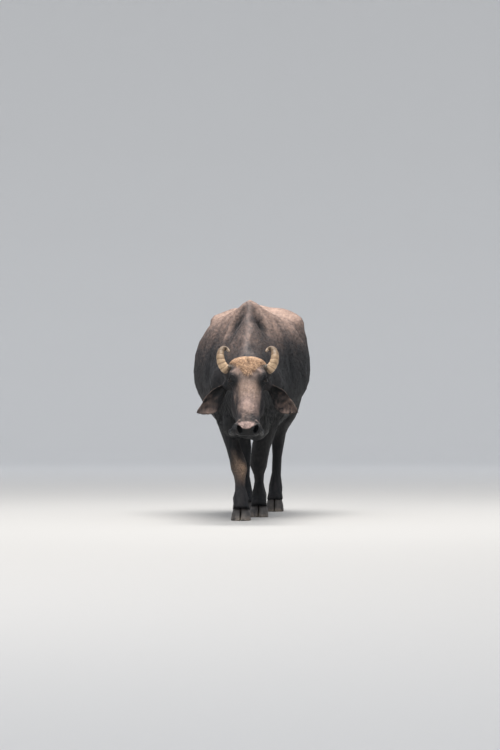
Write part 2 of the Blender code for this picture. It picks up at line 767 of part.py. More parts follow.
def make_horn(side, tag, head):
    path = horn_path(side)
    last = len(path) - 1
    radii = []
    for i in range(last + 1):
        t = i / last
        ring = 0.0013 * (1 if i % 2 else -1) if t < 0.66 else 0
        radii.append(HORN_RADIUS * (1 - 0.80 * t ** 1.9) + ring)
    bm = bmesh.new()
    loft_into(bm, tube_rings(path, radii, 10, flat=0.85))
    obj = link("horn_" + tag, mesh_from(bm, "horn"), "buffalo")
    seat(obj, head)
    return finish(obj, "horn")


def claw_outline(length, width, outward, count=12):
    """One claw from above: nearly straight along the cleft, round outside, narrower at the toe."""
    points = []
    for i in range(count):
        angle = 2 * math.pi * i / count
        forward, across = math.cos(angle), math.sin(angle)
        toe = 1 - 0.30 * max(forward, 0) ** 2
        reach = width * powered(across, 0.7) * (toe if across > 0 else 0.10)
        points.append((outward * (reach + 0.10 * width), -forward * length / 2))
    return points


def foot_matrix(name):
    """Stands a foot on its sole, or tips it forward on to its toe."""
    foot = Vector(LEGS[name][-1])
    pitch = math.radians(FOOT_PITCH[name])
    toe = Vector((foot.x, foot.y - 0.45 * CLAW_LENGTH, 0))
    tip = Matrix.Translation(toe) @ Matrix.Rotation(pitch, 4, "X") @ Matrix.Translation(-toe)
    return tip @ Matrix.Translation((foot.x, foot.y, 0))


def make_claws(name):
    """The two claws of a foot, from the coronet down to soles on the ground."""
    place = foot_matrix(name)
    top_point, top_normal = shifted(foot_plane(name), GAP)
    for outward, tag in ((1, "left"), (-1, "right")):
        rings = []
        for height, long, wide, lean in (
            (-0.030, 1.00, 1.00, -0.014), (0.000, 1.00, 1.00, -0.012), (0.014, 0.985, 0.99, -0.007),
            (0.034, 0.93, 0.97, 0.004), (0.056, 0.86, 0.93, 0.014), (0.076, 0.81, 0.89, 0.022),
            (0.120, 0.80, 0.86, 0.030),
        ):
            outline = claw_outline(CLAW_LENGTH * long, CLAW_WIDTH * wide, outward)
            rings.append([place @ Vector((x + outward * 0.0012, y + lean, height)) for x, y in outline])
        bm = bmesh.new()
        loft_into(bm, rings)
        cuts = ((Vector(), Vector((0, 0, -1))), (top_point, -top_normal))
        for point, normal in cuts:
            geom = bm.verts[:] + bm.edges[:] + bm.faces[:]
            cut = bmesh.ops.bisect_plane(bm, geom=geom, plane_co=point, plane_no=normal, clear_outer=True)
            edges = [g for g in cut["geom_cut"] if isinstance(g, bmesh.types.BMEdge)]
            bmesh.ops.contextual_create(bm, geom=edges)
        node = name.replace("leg", "") + "_claw_" + tag
        obj = link(node, mesh_from(bm, node), "buffalo")
        finish(obj, "hoof")


def make_dewclaws(name, leg):
    """Two small horny points behind the fetlock."""
    centre, side, back = leg_frame(LEGS[name], 3.10)
    for across, tag in ((0.022, "a"), (-0.022, "b")):
        start = centre + side * across + back * 0.034
        end = start + back * DEWCLAW_LENGTH - Vector((0, 0, 0.016))
        path = [start.lerp(end, t) for t in (-0.3, 0.45, 0.8, 1)]
        bm = bmesh.new()
        loft_into(bm, tube_rings(path, (0.013, 0.0125, 0.009, 0.004), 6))
        node = name.replace("leg", "") + "_dewclaw_" + tag
        obj = link(node, mesh_from(bm, node), "buffalo")
        seat(obj, leg)
        finish(obj, "hoof")


def lock_into(group, points, side_ways, widths, thickness):
    """One flat tapered lock of hair, four-sided, along its points."""
    rings = []
    for i, point in enumerate(points):
        ahead = (points[min(i + 1, len(points) - 1)] - points[max(i - 1, 0)]).normalized()
        side = (side_ways - ahead * side_ways.dot(ahead)).normalized()
        up = side.cross(ahead)
        half = widths[i] / 2
        thick = thickness * (0.5 + 0.5 * widths[i] / max(widths)) / 2
        rings.append([point + side * half, point + up * thick, point - side * half, point - up * thick])
    bm = bmesh.new()
    loft_into(bm, rings)
    bmesh.ops.triangulate(bm, faces=bm.faces)
    lock = link("lock", mesh_from(bm, "lock"), group)
    lock.hide_render = True
    lock.display_type = "WIRE"


def fuse_locks(obj, group):
    """Joins a collection of locks to their node in one go."""
    triangulated(obj)
    modifier = obj.modifiers.new("locks", "BOOLEAN")
    modifier.operation = "UNION"
    modifier.operand_type = "COLLECTION"
    modifier.collection = bpy.data.collections[group]
    modifier.solver = "EXACT"
    modifier.use_self = True
    settle(obj)
    for lock in list(bpy.data.collections[group].objects):
        bpy.data.objects.remove(lock)
    return largest_body(obj)


def add_forelock(head):
    """Short curly locks over the poll that narrow to a point on the forehead."""
    rng = random.Random(11)
    tree = BVHTree.FromObject(head, bpy.context.evaluated_depsgraph_get())
    facing = face_point(0, 0, 1) - CROWN
    down = face_point(0, 1, 0) - CROWN
    rows = ((-0.012, 0.056, 6), (0.012, 0.062, 7), (0.038, 0.056, 7), (0.064, 0.042, 5), (0.090, 0.022, 3))
    for u, reach, count in rows:
        for k in range(count):
            x = (2 * (k + 0.5) / count - 1) * reach + rng.uniform(-0.004, 0.004)
            start = face_point(x, u + rng.uniform(-0.006, 0.006), 0.10)
            hit, normal, _, _ = tree.ray_cast(start, -facing)
            if hit is None:
                continue
            swing = math.radians(rng.uniform(-36, 36)) + x * 3
            flow = down * math.cos(swing) + head_turn(1, 0, 0) * math.sin(swing)
            length = FORELOCK_LENGTH * rng.uniform(0.75, 1.15) * (1 - 1.6 * max(u, 0))
            curl = rng.choice((-1, 1)) * rng.uniform(0.3, 0.9)
            points = []
            for i in range(4):
                t = i / 3
                bend = flow * t + normal.cross(flow) * (curl * 0.35 * t * t)
                place = hit + bend * length + facing * 0.08
                touch, touch_normal, _, _ = tree.ray_cast(place, -facing)
                if touch is None:
                    touch, touch_normal = hit + bend * length, normal
                lift = (-0.005, 0.0045, 0.0070, 0.0055)[i]
                points.append(touch + touch_normal * lift)
            width = rng.uniform(0.015, 0.021)
            widths = [width * w for w in (0.8, 1.0, 0.75, 0.16)]
            lock_into("locks", points, normal.cross(flow), widths, 0.0050)
    return fuse_locks(head, "locks")


def make_switch():
    """The switch at the end of the tail: a core with long hanging locks round it."""
    rng = random.Random(5)
    path = smooth_rows(
        ((-0.004, 1.108, 0.560), (-0.009, 1.101, 0.480), (-0.012, 1.098, 0.410), (-0.012, 1.098, 0.350)), 3
    )
    last = len(path) - 1
    radii = [0.017 + 0.010 * math.sin(math.pi * min(1, i / last) ** 0.8) for i in range(last + 1)]
    radii[-1] = 0.008
    bm = bmesh.new()
    loft_into(bm, tube_rings(path, radii, 10))
    obj = link("tail_switch", mesh_from(bm, "tail_switch"), "buffalo")
    for row, (height, count) in enumerate(((0.525, 5), (0.475, 6), (0.425, 5), (0.385, 3))):
        for k in range(count):
            angle = 2 * math.pi * (k + 0.5 * (row % 2) + rng.uniform(-0.15, 0.15)) / count
            out = Vector((math.cos(angle), math.sin(angle), 0))
            root = Vector((-0.010, 1.101, height + rng.uniform(-0.012, 0.012)))
            length = SWITCH_LENGTH * rng.uniform(0.75, 1.1)
            spread = rng.uniform(0.010, 0.030)
            points = []
            for i in range(4):
                t = i / 3
                away = (0.012, 0.031, 0.028, 0.010)[i] + spread * (0, 0.2, 0.6, 0.6)[i]
                twist = Matrix.Rotation(rng.uniform(-0.18, 0.18) * t, 3, "Z")
                points.append(root + (twist @ out) * away - Vector((0, 0, length * t)))
            width = rng.uniform(0.022, 0.030)
            widths = [width * w for w in (0.7, 1.0, 0.8, 0.15)]
            lock_into("locks", points, Vector((-out.y, out.x, 0)), widths, 0.0060)
    return fuse_locks(obj, "locks")


def recentre():
    """Moves the animal so that its origin is on the ground under the middle of its box."""
    nodes = list(bpy.data.collections["buffalo"].objects)
    points = [v.co for obj in nodes for v in obj.data.vertices]
    low = [min(p[k] for p in points) for k in range(3)]
    high = [max(p[k] for p in points) for k in range(3)]
    move = Vector((-(low[0] + high[0]) / 2, -(low[1] + high[1]) / 2, -low[2]))
    done = set()
    for obj in nodes:
        if obj.data.name not in done:
            obj.data.transform(Matrix.Translation(move))
            done.add(obj.data.name)


def main():
    clear_scene()
    for group in ("buffalo", "cutters", "locks"):
        bpy.context.scene.collection.children.link(bpy.data.collections.new(group))
    whole = clay()
    body = thinned(whole, "body_form", BODY_FACES)
    legs_form = thinned(whole, "leg_form", LEG_FACES)
    head_form = thinned(whole, "head_form", HEAD_FACES)

    head = cut_from(head_form, "head", [shifted(HEAD_CUT, -GAP / 2)])
    neck = cut_from(body, "neck", [shifted(flipped(HEAD_CUT), -GAP / 2), *neck_planes(-GAP / 2)])

    torso = link("torso", body.data.copy(), "buffalo")
    for cutter in (region("neck_side", neck_planes(GAP / 2)), region("tail_side", tail_planes(GAP))):
        boolean(torso, cutter, "DIFFERENCE")
    for name in LEGS:
        boolean(torso, region(name + "_side", leg_planes(name, GAP)), "DIFFERENCE")
    largest_body(torso)

    for name in LEGS:
        leg = cut_from(legs_form, name, leg_planes(name, 0) + [foot_plane(name)])
        finish(leg, "hide")
        make_claws(name)
        make_dewclaws(name, leg)
    tail = cut_from(legs_form, "tail", tail_planes(0) + [(Vector((0, 0, 0.47)), Vector((0, 0, -1)))])

    make_eyes_and_lids(head)
    make_nostrils(head)
    make_mouth(head)
    for side, tag in ((1, "left"), (-1, "right")):
        make_ear(side, tag, head)
        make_horn(side, tag, head)
    add_forelock(head)
    for obj in (head, neck, torso, tail):
        finish(obj, "hide")
    switch = make_switch()
    seat(switch, tail)
    finish(switch, "tail_hair")
    recentre()


main()
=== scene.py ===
# Water buffalo, dressed: skin, coat, eyes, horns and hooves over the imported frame
import math

import bmesh
import bpy
import numpy as np
from mathutils import Matrix, Vector
from mathutils.bvhtree import BVHTree


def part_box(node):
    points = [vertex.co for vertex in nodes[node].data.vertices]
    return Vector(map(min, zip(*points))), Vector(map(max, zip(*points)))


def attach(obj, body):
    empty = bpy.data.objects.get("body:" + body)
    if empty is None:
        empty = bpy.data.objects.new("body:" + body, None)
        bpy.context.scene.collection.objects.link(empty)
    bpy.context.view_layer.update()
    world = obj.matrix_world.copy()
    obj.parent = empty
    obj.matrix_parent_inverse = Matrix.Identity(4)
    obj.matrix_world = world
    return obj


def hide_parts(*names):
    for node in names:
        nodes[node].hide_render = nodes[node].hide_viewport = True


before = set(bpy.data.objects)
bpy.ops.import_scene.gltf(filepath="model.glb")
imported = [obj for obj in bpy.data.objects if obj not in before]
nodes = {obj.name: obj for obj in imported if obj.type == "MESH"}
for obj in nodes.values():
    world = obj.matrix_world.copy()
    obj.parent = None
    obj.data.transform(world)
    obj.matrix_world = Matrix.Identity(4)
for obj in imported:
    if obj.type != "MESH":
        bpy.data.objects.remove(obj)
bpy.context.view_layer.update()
print("frame loaded,", len(nodes), "nodes")

# The head's own frame, found from the eyes: x to its left, u down the face, v out of the forehead
headSet = {
    "faceTilt": math.radians(32),
    "eyeU": 0.129,
    "eyeV": -0.038,
    "eyeRadius": 0.0205,
    "crownFromWithers": (0.050, -0.865, 0.945),
    "cutPoint": (0.04, -0.775, 0.860),      # where the head meets the neck
    "cutNormal": (-0.0565, 0.9422, 0.3298),
}


def boxCentre(name):
    low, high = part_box(name)
    return (low + high) / 2


eyeCentres = {1: boxCentre("eye_left"), -1: boxCentre("eye_right")}
sideAxis = (eyeCentres[1] - eyeCentres[-1]).normalized()
headYaw = math.atan2(sideAxis.y, sideAxis.x)


def headTurn(x, y, z):
    return Matrix.Rotation(headYaw, 3, "Z") @ Vector((x, y, z))


tilt = headSet["faceTilt"]
downAxis = headTurn(0, -math.sin(tilt), -math.cos(tilt))
outAxis = headTurn(0, -math.cos(tilt), math.sin(tilt))
crown = (eyeCentres[1] + eyeCentres[-1]) / 2 - downAxis * headSet["eyeU"] - outAxis * headSet["eyeV"]
withers = crown - Vector(headSet["crownFromWithers"])    # on the ground, under the withers


def facePoint(x, u, v):
    return crown + sideAxis * x + downAxis * u + outAxis * v


def facePlace(points):
    away = points - np.array(crown)
    return away @ np.array(sideAxis), away @ np.array(downAxis), away @ np.array(outAxis)


def bodyPlace(points):
    return (points - np.array(withers)).T


def rise(low, high, value):
    t = np.clip((value - low) / (high - low), 0, 1)
    return t * t * (3 - 2 * t)


def fall(low, high, value):
    return 1 - rise(low, high, value)


def window(value, low, high, soft):
    return rise(low - soft, low + soft, value) * fall(high - soft, high + soft, value)


def hump(distance, width):
    return np.exp(-(distance / width) ** 2)


def distanceOf(*parts):
    return np.linalg.norm(np.stack(parts, axis=1), axis=1)


def spot(width, *parts):
    return hump(distanceOf(*parts), width)


def mix(first, second, share):
    return first * (1 - share) + second * share


def unit(rows):
    return rows / np.maximum(np.linalg.norm(rows, axis=-1, keepdims=True), 1e-9)


def lineDistance(points, start, end):
    start, end = np.array(start, float), np.array(end, float)
    run = end - start
    t = np.clip((points - start) @ run / (run @ run), 0, 1)
    return np.linalg.norm(points - start - t[:, None] * run, axis=1), t


def ripple(points, size, seed=0, waves=9):
    # soft noise between -1 and 1, as a sum of waves in fixed directions
    rng = np.random.default_rng(seed)
    total = np.zeros(len(points))
    for _ in range(waves):
        way = rng.normal(size=3)
        way *= 2 * np.pi / (size * rng.uniform(0.6, 1.7)) / np.linalg.norm(way)
        total += np.sin(points @ way + rng.uniform(0, 2 * np.pi))
    return total / math.sqrt(waves * 0.5) * 0.55


def curveThrough(rows, count):
    rows = np.array(rows, float)
    ends = np.vstack([2 * rows[0] - rows[1], rows, 2 * rows[-1] - rows[-2]])
    place = np.linspace(0, len(rows) - 1, count)
    first = np.minimum(place.astype(int), len(rows) - 2)
    t = (place - first)[:, None]
    a, b, c, d = (ends[first + k] for k in range(4))
    bend = 2 * a - 5 * b + 4 * c - d + t * (3 * (b - c) + d - a)
    return b + 0.5 * t * (c - a + t * bend)


def turnAlong(path, start):
    ahead = unit(np.gradient(path, axis=0))
    side = np.array(start, float)
    sides = []
    for direction in ahead:
        side = side - direction * (side @ direction)
        side = side / np.linalg.norm(side)
        sides.append(side)
    sides = np.array(sides)
    return sides, np.cross(ahead, sides)


# Mesh helpers
def activate(obj):
    bpy.ops.object.select_all(action="DESELECT")
    obj.select_set(True)
    bpy.context.view_layer.objects.active = obj


def readRows(rows, field):
    flat = np.empty(len(rows) * 3, np.float32)
    rows.foreach_get(field, flat)
    return flat.reshape(-1, 3).astype(float)


def getPoints(obj):
    return readRows(obj.data.vertices, "co")


def setPoints(obj, points):
    obj.data.vertices.foreach_set("co", points.astype(np.float32).ravel())
    obj.data.update()


def getNormals(obj):
    return readRows(obj.data.vertices, "normal")


def applyModifiers(obj):
    activate(obj)
    for modifier in list(obj.modifiers):
        bpy.ops.object.modifier_apply(modifier=modifier.name)


def weightGroup(obj, name, weights, levels=16):
    group = obj.vertex_groups.new(name=name)
    steps = np.round(weights * levels).astype(int)
    for step in range(1, levels + 1):
        group.add(np.flatnonzero(steps == step).tolist(), step / levels, "REPLACE")
    return name


def selectFaces(obj, keep):
    obj.data.vertices.foreach_set("select", np.zeros(len(obj.data.vertices), bool))
    obj.data.edges.foreach_set("select", np.zeros(len(obj.data.edges), bool))
    obj.data.polygons.foreach_set("select", keep)


def faceCentres(obj):
    return readRows(obj.data.polygons, "center")


def addObject(name, data):
    obj = bpy.data.objects.new(name, data)
    bpy.context.scene.collection.objects.link(obj)
    return obj


def copyOfNode(name, newName, grow=0.0):
    mesh = nodes[name].data.copy()
    bm = bmesh.new()
    bm.from_mesh(mesh)
    bmesh.ops.remove_doubles(bm, verts=bm.verts, dist=0.00001)
    bm.normal_update()
    moved = [vert.co + vert.normal * grow for vert in bm.verts]
    for vert, place in zip(bm.verts, moved):
        vert.co = place
    bm.to_mesh(mesh)
    bm.free()
    mesh.materials.clear()
    return addObject(newName, mesh)


def closeSeams(obj):
    activate(obj)
    bpy.ops.object.mode_set(mode="EDIT")
    bpy.ops.mesh.select_all(action="SELECT")
    bpy.ops.mesh.remove_doubles(threshold=0.00002)
    bpy.ops.mesh.normals_make_consistent(inside=False)
    bpy.ops.object.mode_set(mode="OBJECT")
    obj.data.shade_smooth()


def rolledGrid(name, around, along):
    # a grid whose points are about to be rolled into a tube: its angle and its place from 0 to 1
    bpy.ops.object.select_all(action="DESELECT")
    bpy.ops.mesh.primitive_grid_add(x_subdivisions=around, y_subdivisions=along, size=2)
    obj = bpy.context.active_object
    obj.name = name
    flat = (getPoints(obj)[:, :2] + 1) / 2
    return obj, flat[:, 0] * 2 * np.pi, flat[:, 1]


def readAlong(path, t):
    # the place on a path and its two directions across, for every point of a rolled grid
    last = len(path) - 1
    row = np.minimum((t * last).astype(int), last)
    sides, others = turnAlong(path, (1, 0, 0))
    return path[row], sides[row], others[row]


def addRemesh(obj, voxel):
    remesh = obj.modifiers.new("fuse", "REMESH")
    remesh.mode = "VOXEL"
    remesh.voxel_size = voxel


def addSmooth(obj, rounds, group="", factor=0.5):
    smooth = obj.modifiers.new("soften", "SMOOTH")
    smooth.factor = factor
    smooth.iterations = rounds
    smooth.vertex_group = group


def shareValue(obj, name, values):
    attribute = obj.data.attributes.get(name) or obj.data.attributes.new(name, "FLOAT", "POINT")
    attribute.data.foreach_set("value", values.astype(np.float32))


def shareMarks(obj, marks):
    colours = obj.data.color_attributes
    attribute = colours.get("marks") or colours.new("marks", "FLOAT_COLOR", "POINT")
    attribute.data.foreach_set("color", marks.astype(np.float32).ravel())


def finishPiece(obj, material, slot, *replaced):
    obj.data.materials.clear()
    obj.data.materials.append(material)
    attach(obj, "root")
    if replaced:
        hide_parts(*replaced)
    return obj


# Skin: the nodes of flesh fused into one form, softened, sculpted and thinned
skinSet = {
    "voxel": 0.0036,
    "closing": 0.0017,        # closes the gaps between the nodes and the slot of the mouth
    "coatDepth": 0.0012,
    "rounds": 130,
    "coarseVoxel": 0.013,     # the copy on which the long facets of the solids are rounded off
    "coarseRounds": 16,
    "triangles": 90000,
    "nodes": ("torso", "neck", "head", "tail", "ear_left", "ear_right",
              "foreleg_left", "foreleg_right", "hindleg_left", "hindleg_right"),
    # muscle filled in down the back of each thigh, and between belly and right thigh: line, radii
    "fills": (
        (((-0.138, 0.900, 0.700), (-0.132, 0.868, 0.605), (-0.116, 0.884, 0.530)), (0.066, 0.050, 0.030)),
        (((0.138, 0.915, 0.700), (0.130, 0.945, 0.630), (0.110, 1.020, 0.550)), (0.064, 0.054, 0.034)),
        (((-0.130, 0.800, 0.780), (-0.138, 0.812, 0.690), (-0.140, 0.816, 0.600)), (0.034, 0.047, 0.036)),
    ),
    "knots": (((-0.135, 0.880, 0.610), 0.120), ((0.130, 0.950, 0.620), 0.110),
              ((0.016, -0.440, 0.540), 0.130)),      # places that need a second round, and their reach
}
mouthLine = ((0.335, -0.108), (0.380, -0.114), (0.430, -0.110), (0.470, -0.102), (0.540, -0.098))
nostrilSet = {"x": 0.046, "u": 0.460, "v": -0.030, "turn": math.radians(26), "radii": (0.012, 0.024, 0.025)}
earSet = {"rootX": 0.116, "rootU": 0.098, "rootV": -0.128, "length": 0.214}


def behindHead(points):
    x, y, z = bodyPlace(points)
    point, normal = headSet["cutPoint"], headSet["cutNormal"]
    return (x - point[0]) * normal[0] + (y - point[1]) * normal[1] + (z - point[2]) * normal[2]


def earAxis(side):
    root = facePoint(side * earSet["rootX"], earSet["rootU"], earSet["rootV"])
    reach = headTurn(side * 0.70, 0.10, -0.66).normalized()
    front = headTurn(side * 0.18, -0.96, -0.10)
    front = (front - reach * front.dot(reach)).normalized()
    return np.array(root), np.array(reach), np.array(front)


def earAmount(points):
    amount = np.zeros(len(points))
    for side in (1, -1):
        root, reach, _ = earAxis(side)
        along = (points - root) @ reach
        away = np.linalg.norm(points - root - along[:, None] * reach, axis=1)
        near = (away < 0.085) * (behindHead(points) < 0.02)
        amount = np.maximum(amount, rise(0.012, 0.035, along) * near)
    return amount * rise(0.096, 0.106, np.abs(facePlace(points)[0]))


def nostrilReach(points):
    x, u, v = facePlace(points)
    reach = np.full(len(points), 9.0)
    for side in (1, -1):
        turn = -side * nostrilSet["turn"]
        dx, du = x - side * nostrilSet["x"], u - nostrilSet["u"]
        a = dx * math.cos(turn) - du * math.sin(turn)
        b = dx * math.sin(turn) + du * math.cos(turn)
        rx, rv, ru = nostrilSet["radii"]
        squares = (a / rx) ** 2 + ((v - nostrilSet["v"]) / rv) ** 2 + (b / ru) ** 2
        reach = np.minimum(reach, np.sqrt(squares))
    return reach


def mouthAway(points):
    _, u, v = facePlace(points)
    us, vs = zip(*mouthLine)
    return v - np.interp(u, us, vs), rise(0.328, 0.352, u)


def eyeAway(points):
    return np.minimum(*(np.linalg.norm(points - np.array(eyeCentres[side]), axis=1) for side in (1, -1)))


def onTail(x, y, z):
    return (np.abs(x) < 0.06) & (y > 1.03) & (z < 1.22)


def softness(points):
    x, y, z = bodyPlace(points)
    _, u, v = facePlace(points)
    onHead = fall(-0.03, 0.03, behindHead(points))
    body = 0.26 + 0.36 * rise(0.13, 0.24, z) + 0.38 * rise(0.45, 0.80, z)
    body = np.maximum(body, rise(-0.34, -0.40, y) * rise(0.40, 0.46, z))
    body = np.maximum(body, window(y, 0.12, 0.40, 0.05) * rise(0.40, 0.46, z))
    body = np.where(onTail(x, y, z), 0.14, body)
    poll = hump((u - 0.03) / 0.085, 1.0) * rise(-0.10, -0.05, v)
    detail = np.maximum(hump(eyeAway(points), 0.040), rise(0.38, 0.42, u))
    head = (0.15 + 0.25 * poll) * (1 - 0.85 * detail)
    head = np.where(earAmount(points) > 0.2, 0.06, head)
    return np.clip(mix(body, head, onHead), 0, 1)


bodySet = {
    "hips": ((1, 0.020), (-1, 0.007)),        # side, and how far its hip bone is rounded off
    "creaseShare": 0.62,
    "creases": (          # start, end, depth, width, on both sides
        ((0.150, 0.080, 1.195), (0.262, -0.010, 0.840), 0.014, 0.024),   # behind the shoulder
        ((0.110, -0.640, 0.790), (0.150, -0.330, 0.660), 0.006, 0.022),  # groove of the neck
        ((0.070, -0.330, 1.120), (0.170, -0.420, 0.800), 0.006, 0.018),
        ((0.060, -0.450, 1.060), (0.140, -0.540, 0.800), 0.005, 0.016),
        ((0.055, -0.570, 1.010), (0.120, -0.650, 0.800), 0.004, 0.014),
        ((0.120, -0.060, 1.230), (0.180, -0.160, 1.000), 0.007, 0.022),  # before the shoulder blade
        ((0.285, 0.540, 0.980), (0.250, 0.560, 0.760), 0.007, 0.024),    # flank fold
        ((0.200, 0.880, 1.100), (0.190, 0.960, 0.800), 0.006, 0.020),    # between the thigh muscles
        ((0.150, -0.190, 0.700), (0.190, -0.060, 0.660), 0.005, 0.016),  # over the elbow
    ),
    "ribHeight": 0.0032,
    "legThinner": 0.0065,
    "brisketDrop": 0.032,
}


def sculptBody(obj):
    points, normals = getPoints(obj), getNormals(obj)
    x, y, z = bodyPlace(points)
    side = np.abs(x)
    local = np.stack([side, y, z], axis=1)
    push = np.zeros(len(points))
    ribs = np.sin(2 * np.pi * (y + 0.30 * (z - 0.9)) / 0.060 + 0.7 * np.sin(9 * z))
    ribs *= window(y, 0.12, 0.52, 0.06) * window(z, 0.74, 1.12, 0.06) * rise(0.20, 0.28, side)
    push += bodySet["ribHeight"] * ribs
    push -= 0.022 * hump(np.hypot(y - 0.50, 1.2 * (z - 1.13)), 0.085) * rise(0.12, 0.20, side)
    for sign, depth in bodySet["hips"]:
        push -= depth * spot(0.075, x * sign - 0.278, y - 0.620, z - 1.238)
    inner = rise(0.1, 0.7, -normals[:, 0] * np.sign(x))
    leftFore = (x > 0) & (np.abs(y) < 0.20)
    rightHind = (x < 0) & (y > 0.70)
    for height, low, high, leg in ((0.010, 0.30, 0.50, leftFore), (0.016, 0.39, 0.52, leftFore),
                                   (0.009, 0.26, 0.50, rightHind)):        # thicker on the inside
        push += height * inner * window(z, low, high, 0.05) * leg
    push -= 0.020 * spot(0.050, np.abs(x - 0.012) - 0.074, y + 0.170, z - 1.162)
    for start, end, depth, width in bodySet["creases"]:
        away, along = lineDistance(local, start, end)
        depth *= bodySet["creaseShare"]
        push -= depth * hump(away, width) * (0.45 + 0.55 * np.sin(np.pi * np.clip(along, 0.05, 0.95)))
        push += 0.35 * depth * hump(away - 1.8 * width, 0.8 * width)
    top, _ = lineDistance(local, (0.030, -0.130, 1.268), (0.034, 0.080, 1.290))
    push += 0.009 * hump(top, 0.030)
    throat = window(y, -0.80, -0.42, 0.05) * fall(0.72, 0.86, z)
    push += 0.0028 * throat * np.sin(2 * np.pi * (y - 0.45 * z) / 0.052 + 2.2 * np.sin(14 * x))
    flat = 1 - np.abs(normals[:, 2])
    push -= bodySet["legThinner"] * fall(0.070, 0.094, z) * flat
    _, u, v = facePlace(points)
    underCurls = hump((u - 0.03) / 0.075, 1.0) * rise(-0.08, -0.03, v)
    push -= 0.0042 * fall(-0.02, 0.02, behindHead(points)) * underCurls
    points = points + normals * push[:, None]
    points[:, 2] -= bodySet["brisketDrop"] * spot(0.085, x - 0.03, 0.6 * (y + 0.30), z - 0.53)
    setPoints(obj, points)


def makeFill(line, radii):
    muscle, angle, t = rolledGrid("muscle", 28, 24)
    middle, side, other = readAlong(curveThrough(line, 100) + np.array(withers), t)
    radius = np.interp(t, np.linspace(0, 1, len(radii)), radii)
    radius *= np.sqrt(np.clip(1 - (2 * t - 1) ** 6, 0, 1))
    around = side * np.cos(angle)[:, None] + other * np.sin(angle)[:, None]
    setPoints(muscle, middle + around * radius[:, None])
    closeSeams(muscle)
    return muscle


def soften(skin, rounds, weights, keepBulk):
    # smoothed, and where keepBulk is 1 the bulk that smoothing takes is given back, itself smoothed
    group = weightGroup(skin, "broad", weights)
    before = getPoints(skin)
    addSmooth(skin, rounds, group, 0.8)
    applyModifiers(skin)
    after = getPoints(skin)
    setPoints(skin, before - after)
    addSmooth(skin, rounds, group, 0.8)
    applyModifiers(skin)
    setPoints(skin, after + getPoints(skin) * keepBulk[:, None])
    skin.vertex_groups.clear()


def carryShift(coarse, shift, points, cell):
    # the shift of the coarse points, spread over a grid of cells and read at every fine point
    low = coarse.min(axis=0) - 4 * cell
    size = np.ceil((coarse.max(axis=0) + 4 * cell - low) / cell).astype(int) + 2
    total = np.zeros((*size, 4))
    rows = np.round((coarse - low) / cell).astype(int)
    np.add.at(total, tuple(rows.T), np.column_stack([shift, np.ones(len(shift))]))
    for axis in (0, 1, 2, 0, 1, 2):
        total = (np.roll(total, 1, axis) + 2 * total + np.roll(total, -1, axis)) / 4
    field = total[..., :3] / np.maximum(total[..., 3:], 1e-9)
    place = (points - low) / cell
    first = np.clip(np.floor(place).astype(int), 0, size - 2)
    t = np.clip(place - first, 0, 1)
    moved = np.zeros(points.shape)
    for dx, dy, dz in ((a, b, c) for a in (0, 1) for b in (0, 1) for c in (0, 1)):
        share = np.abs(1 - dx - t[:, 0]) * np.abs(1 - dy - t[:, 1]) * np.abs(1 - dz - t[:, 2])
        moved += field[first[:, 0] + dx, first[:, 1] + dy, first[:, 2] + dz] * share[:, None]
    return moved


def roundFacets(skin):
    coarse = addObject("coarse", skin.data.copy())
    addRemesh(coarse, skinSet["coarseVoxel"])
    applyModifiers(coarse)
    before = getPoints(coarse)
    x, y, z = bodyPlace(before)
    weights = 0.12 + 0.88 * rise(0.09, 0.20, z) - 0.45 * rise(1.02, 1.16, z)
    weights *= rise(0.0, 0.08, behindHead(before))
    weights[onTail(x, y, z)] = 0        # the tail stays
    soften(coarse, skinSet["coarseRounds"], weights, np.ones(len(before)))
    shift = getPoints(coarse) - before
    bpy.data.objects.remove(coarse)
    points = getPoints(skin)
    setPoints(skin, points + carryShift(before, shift, points, skinSet["coarseVoxel"]))


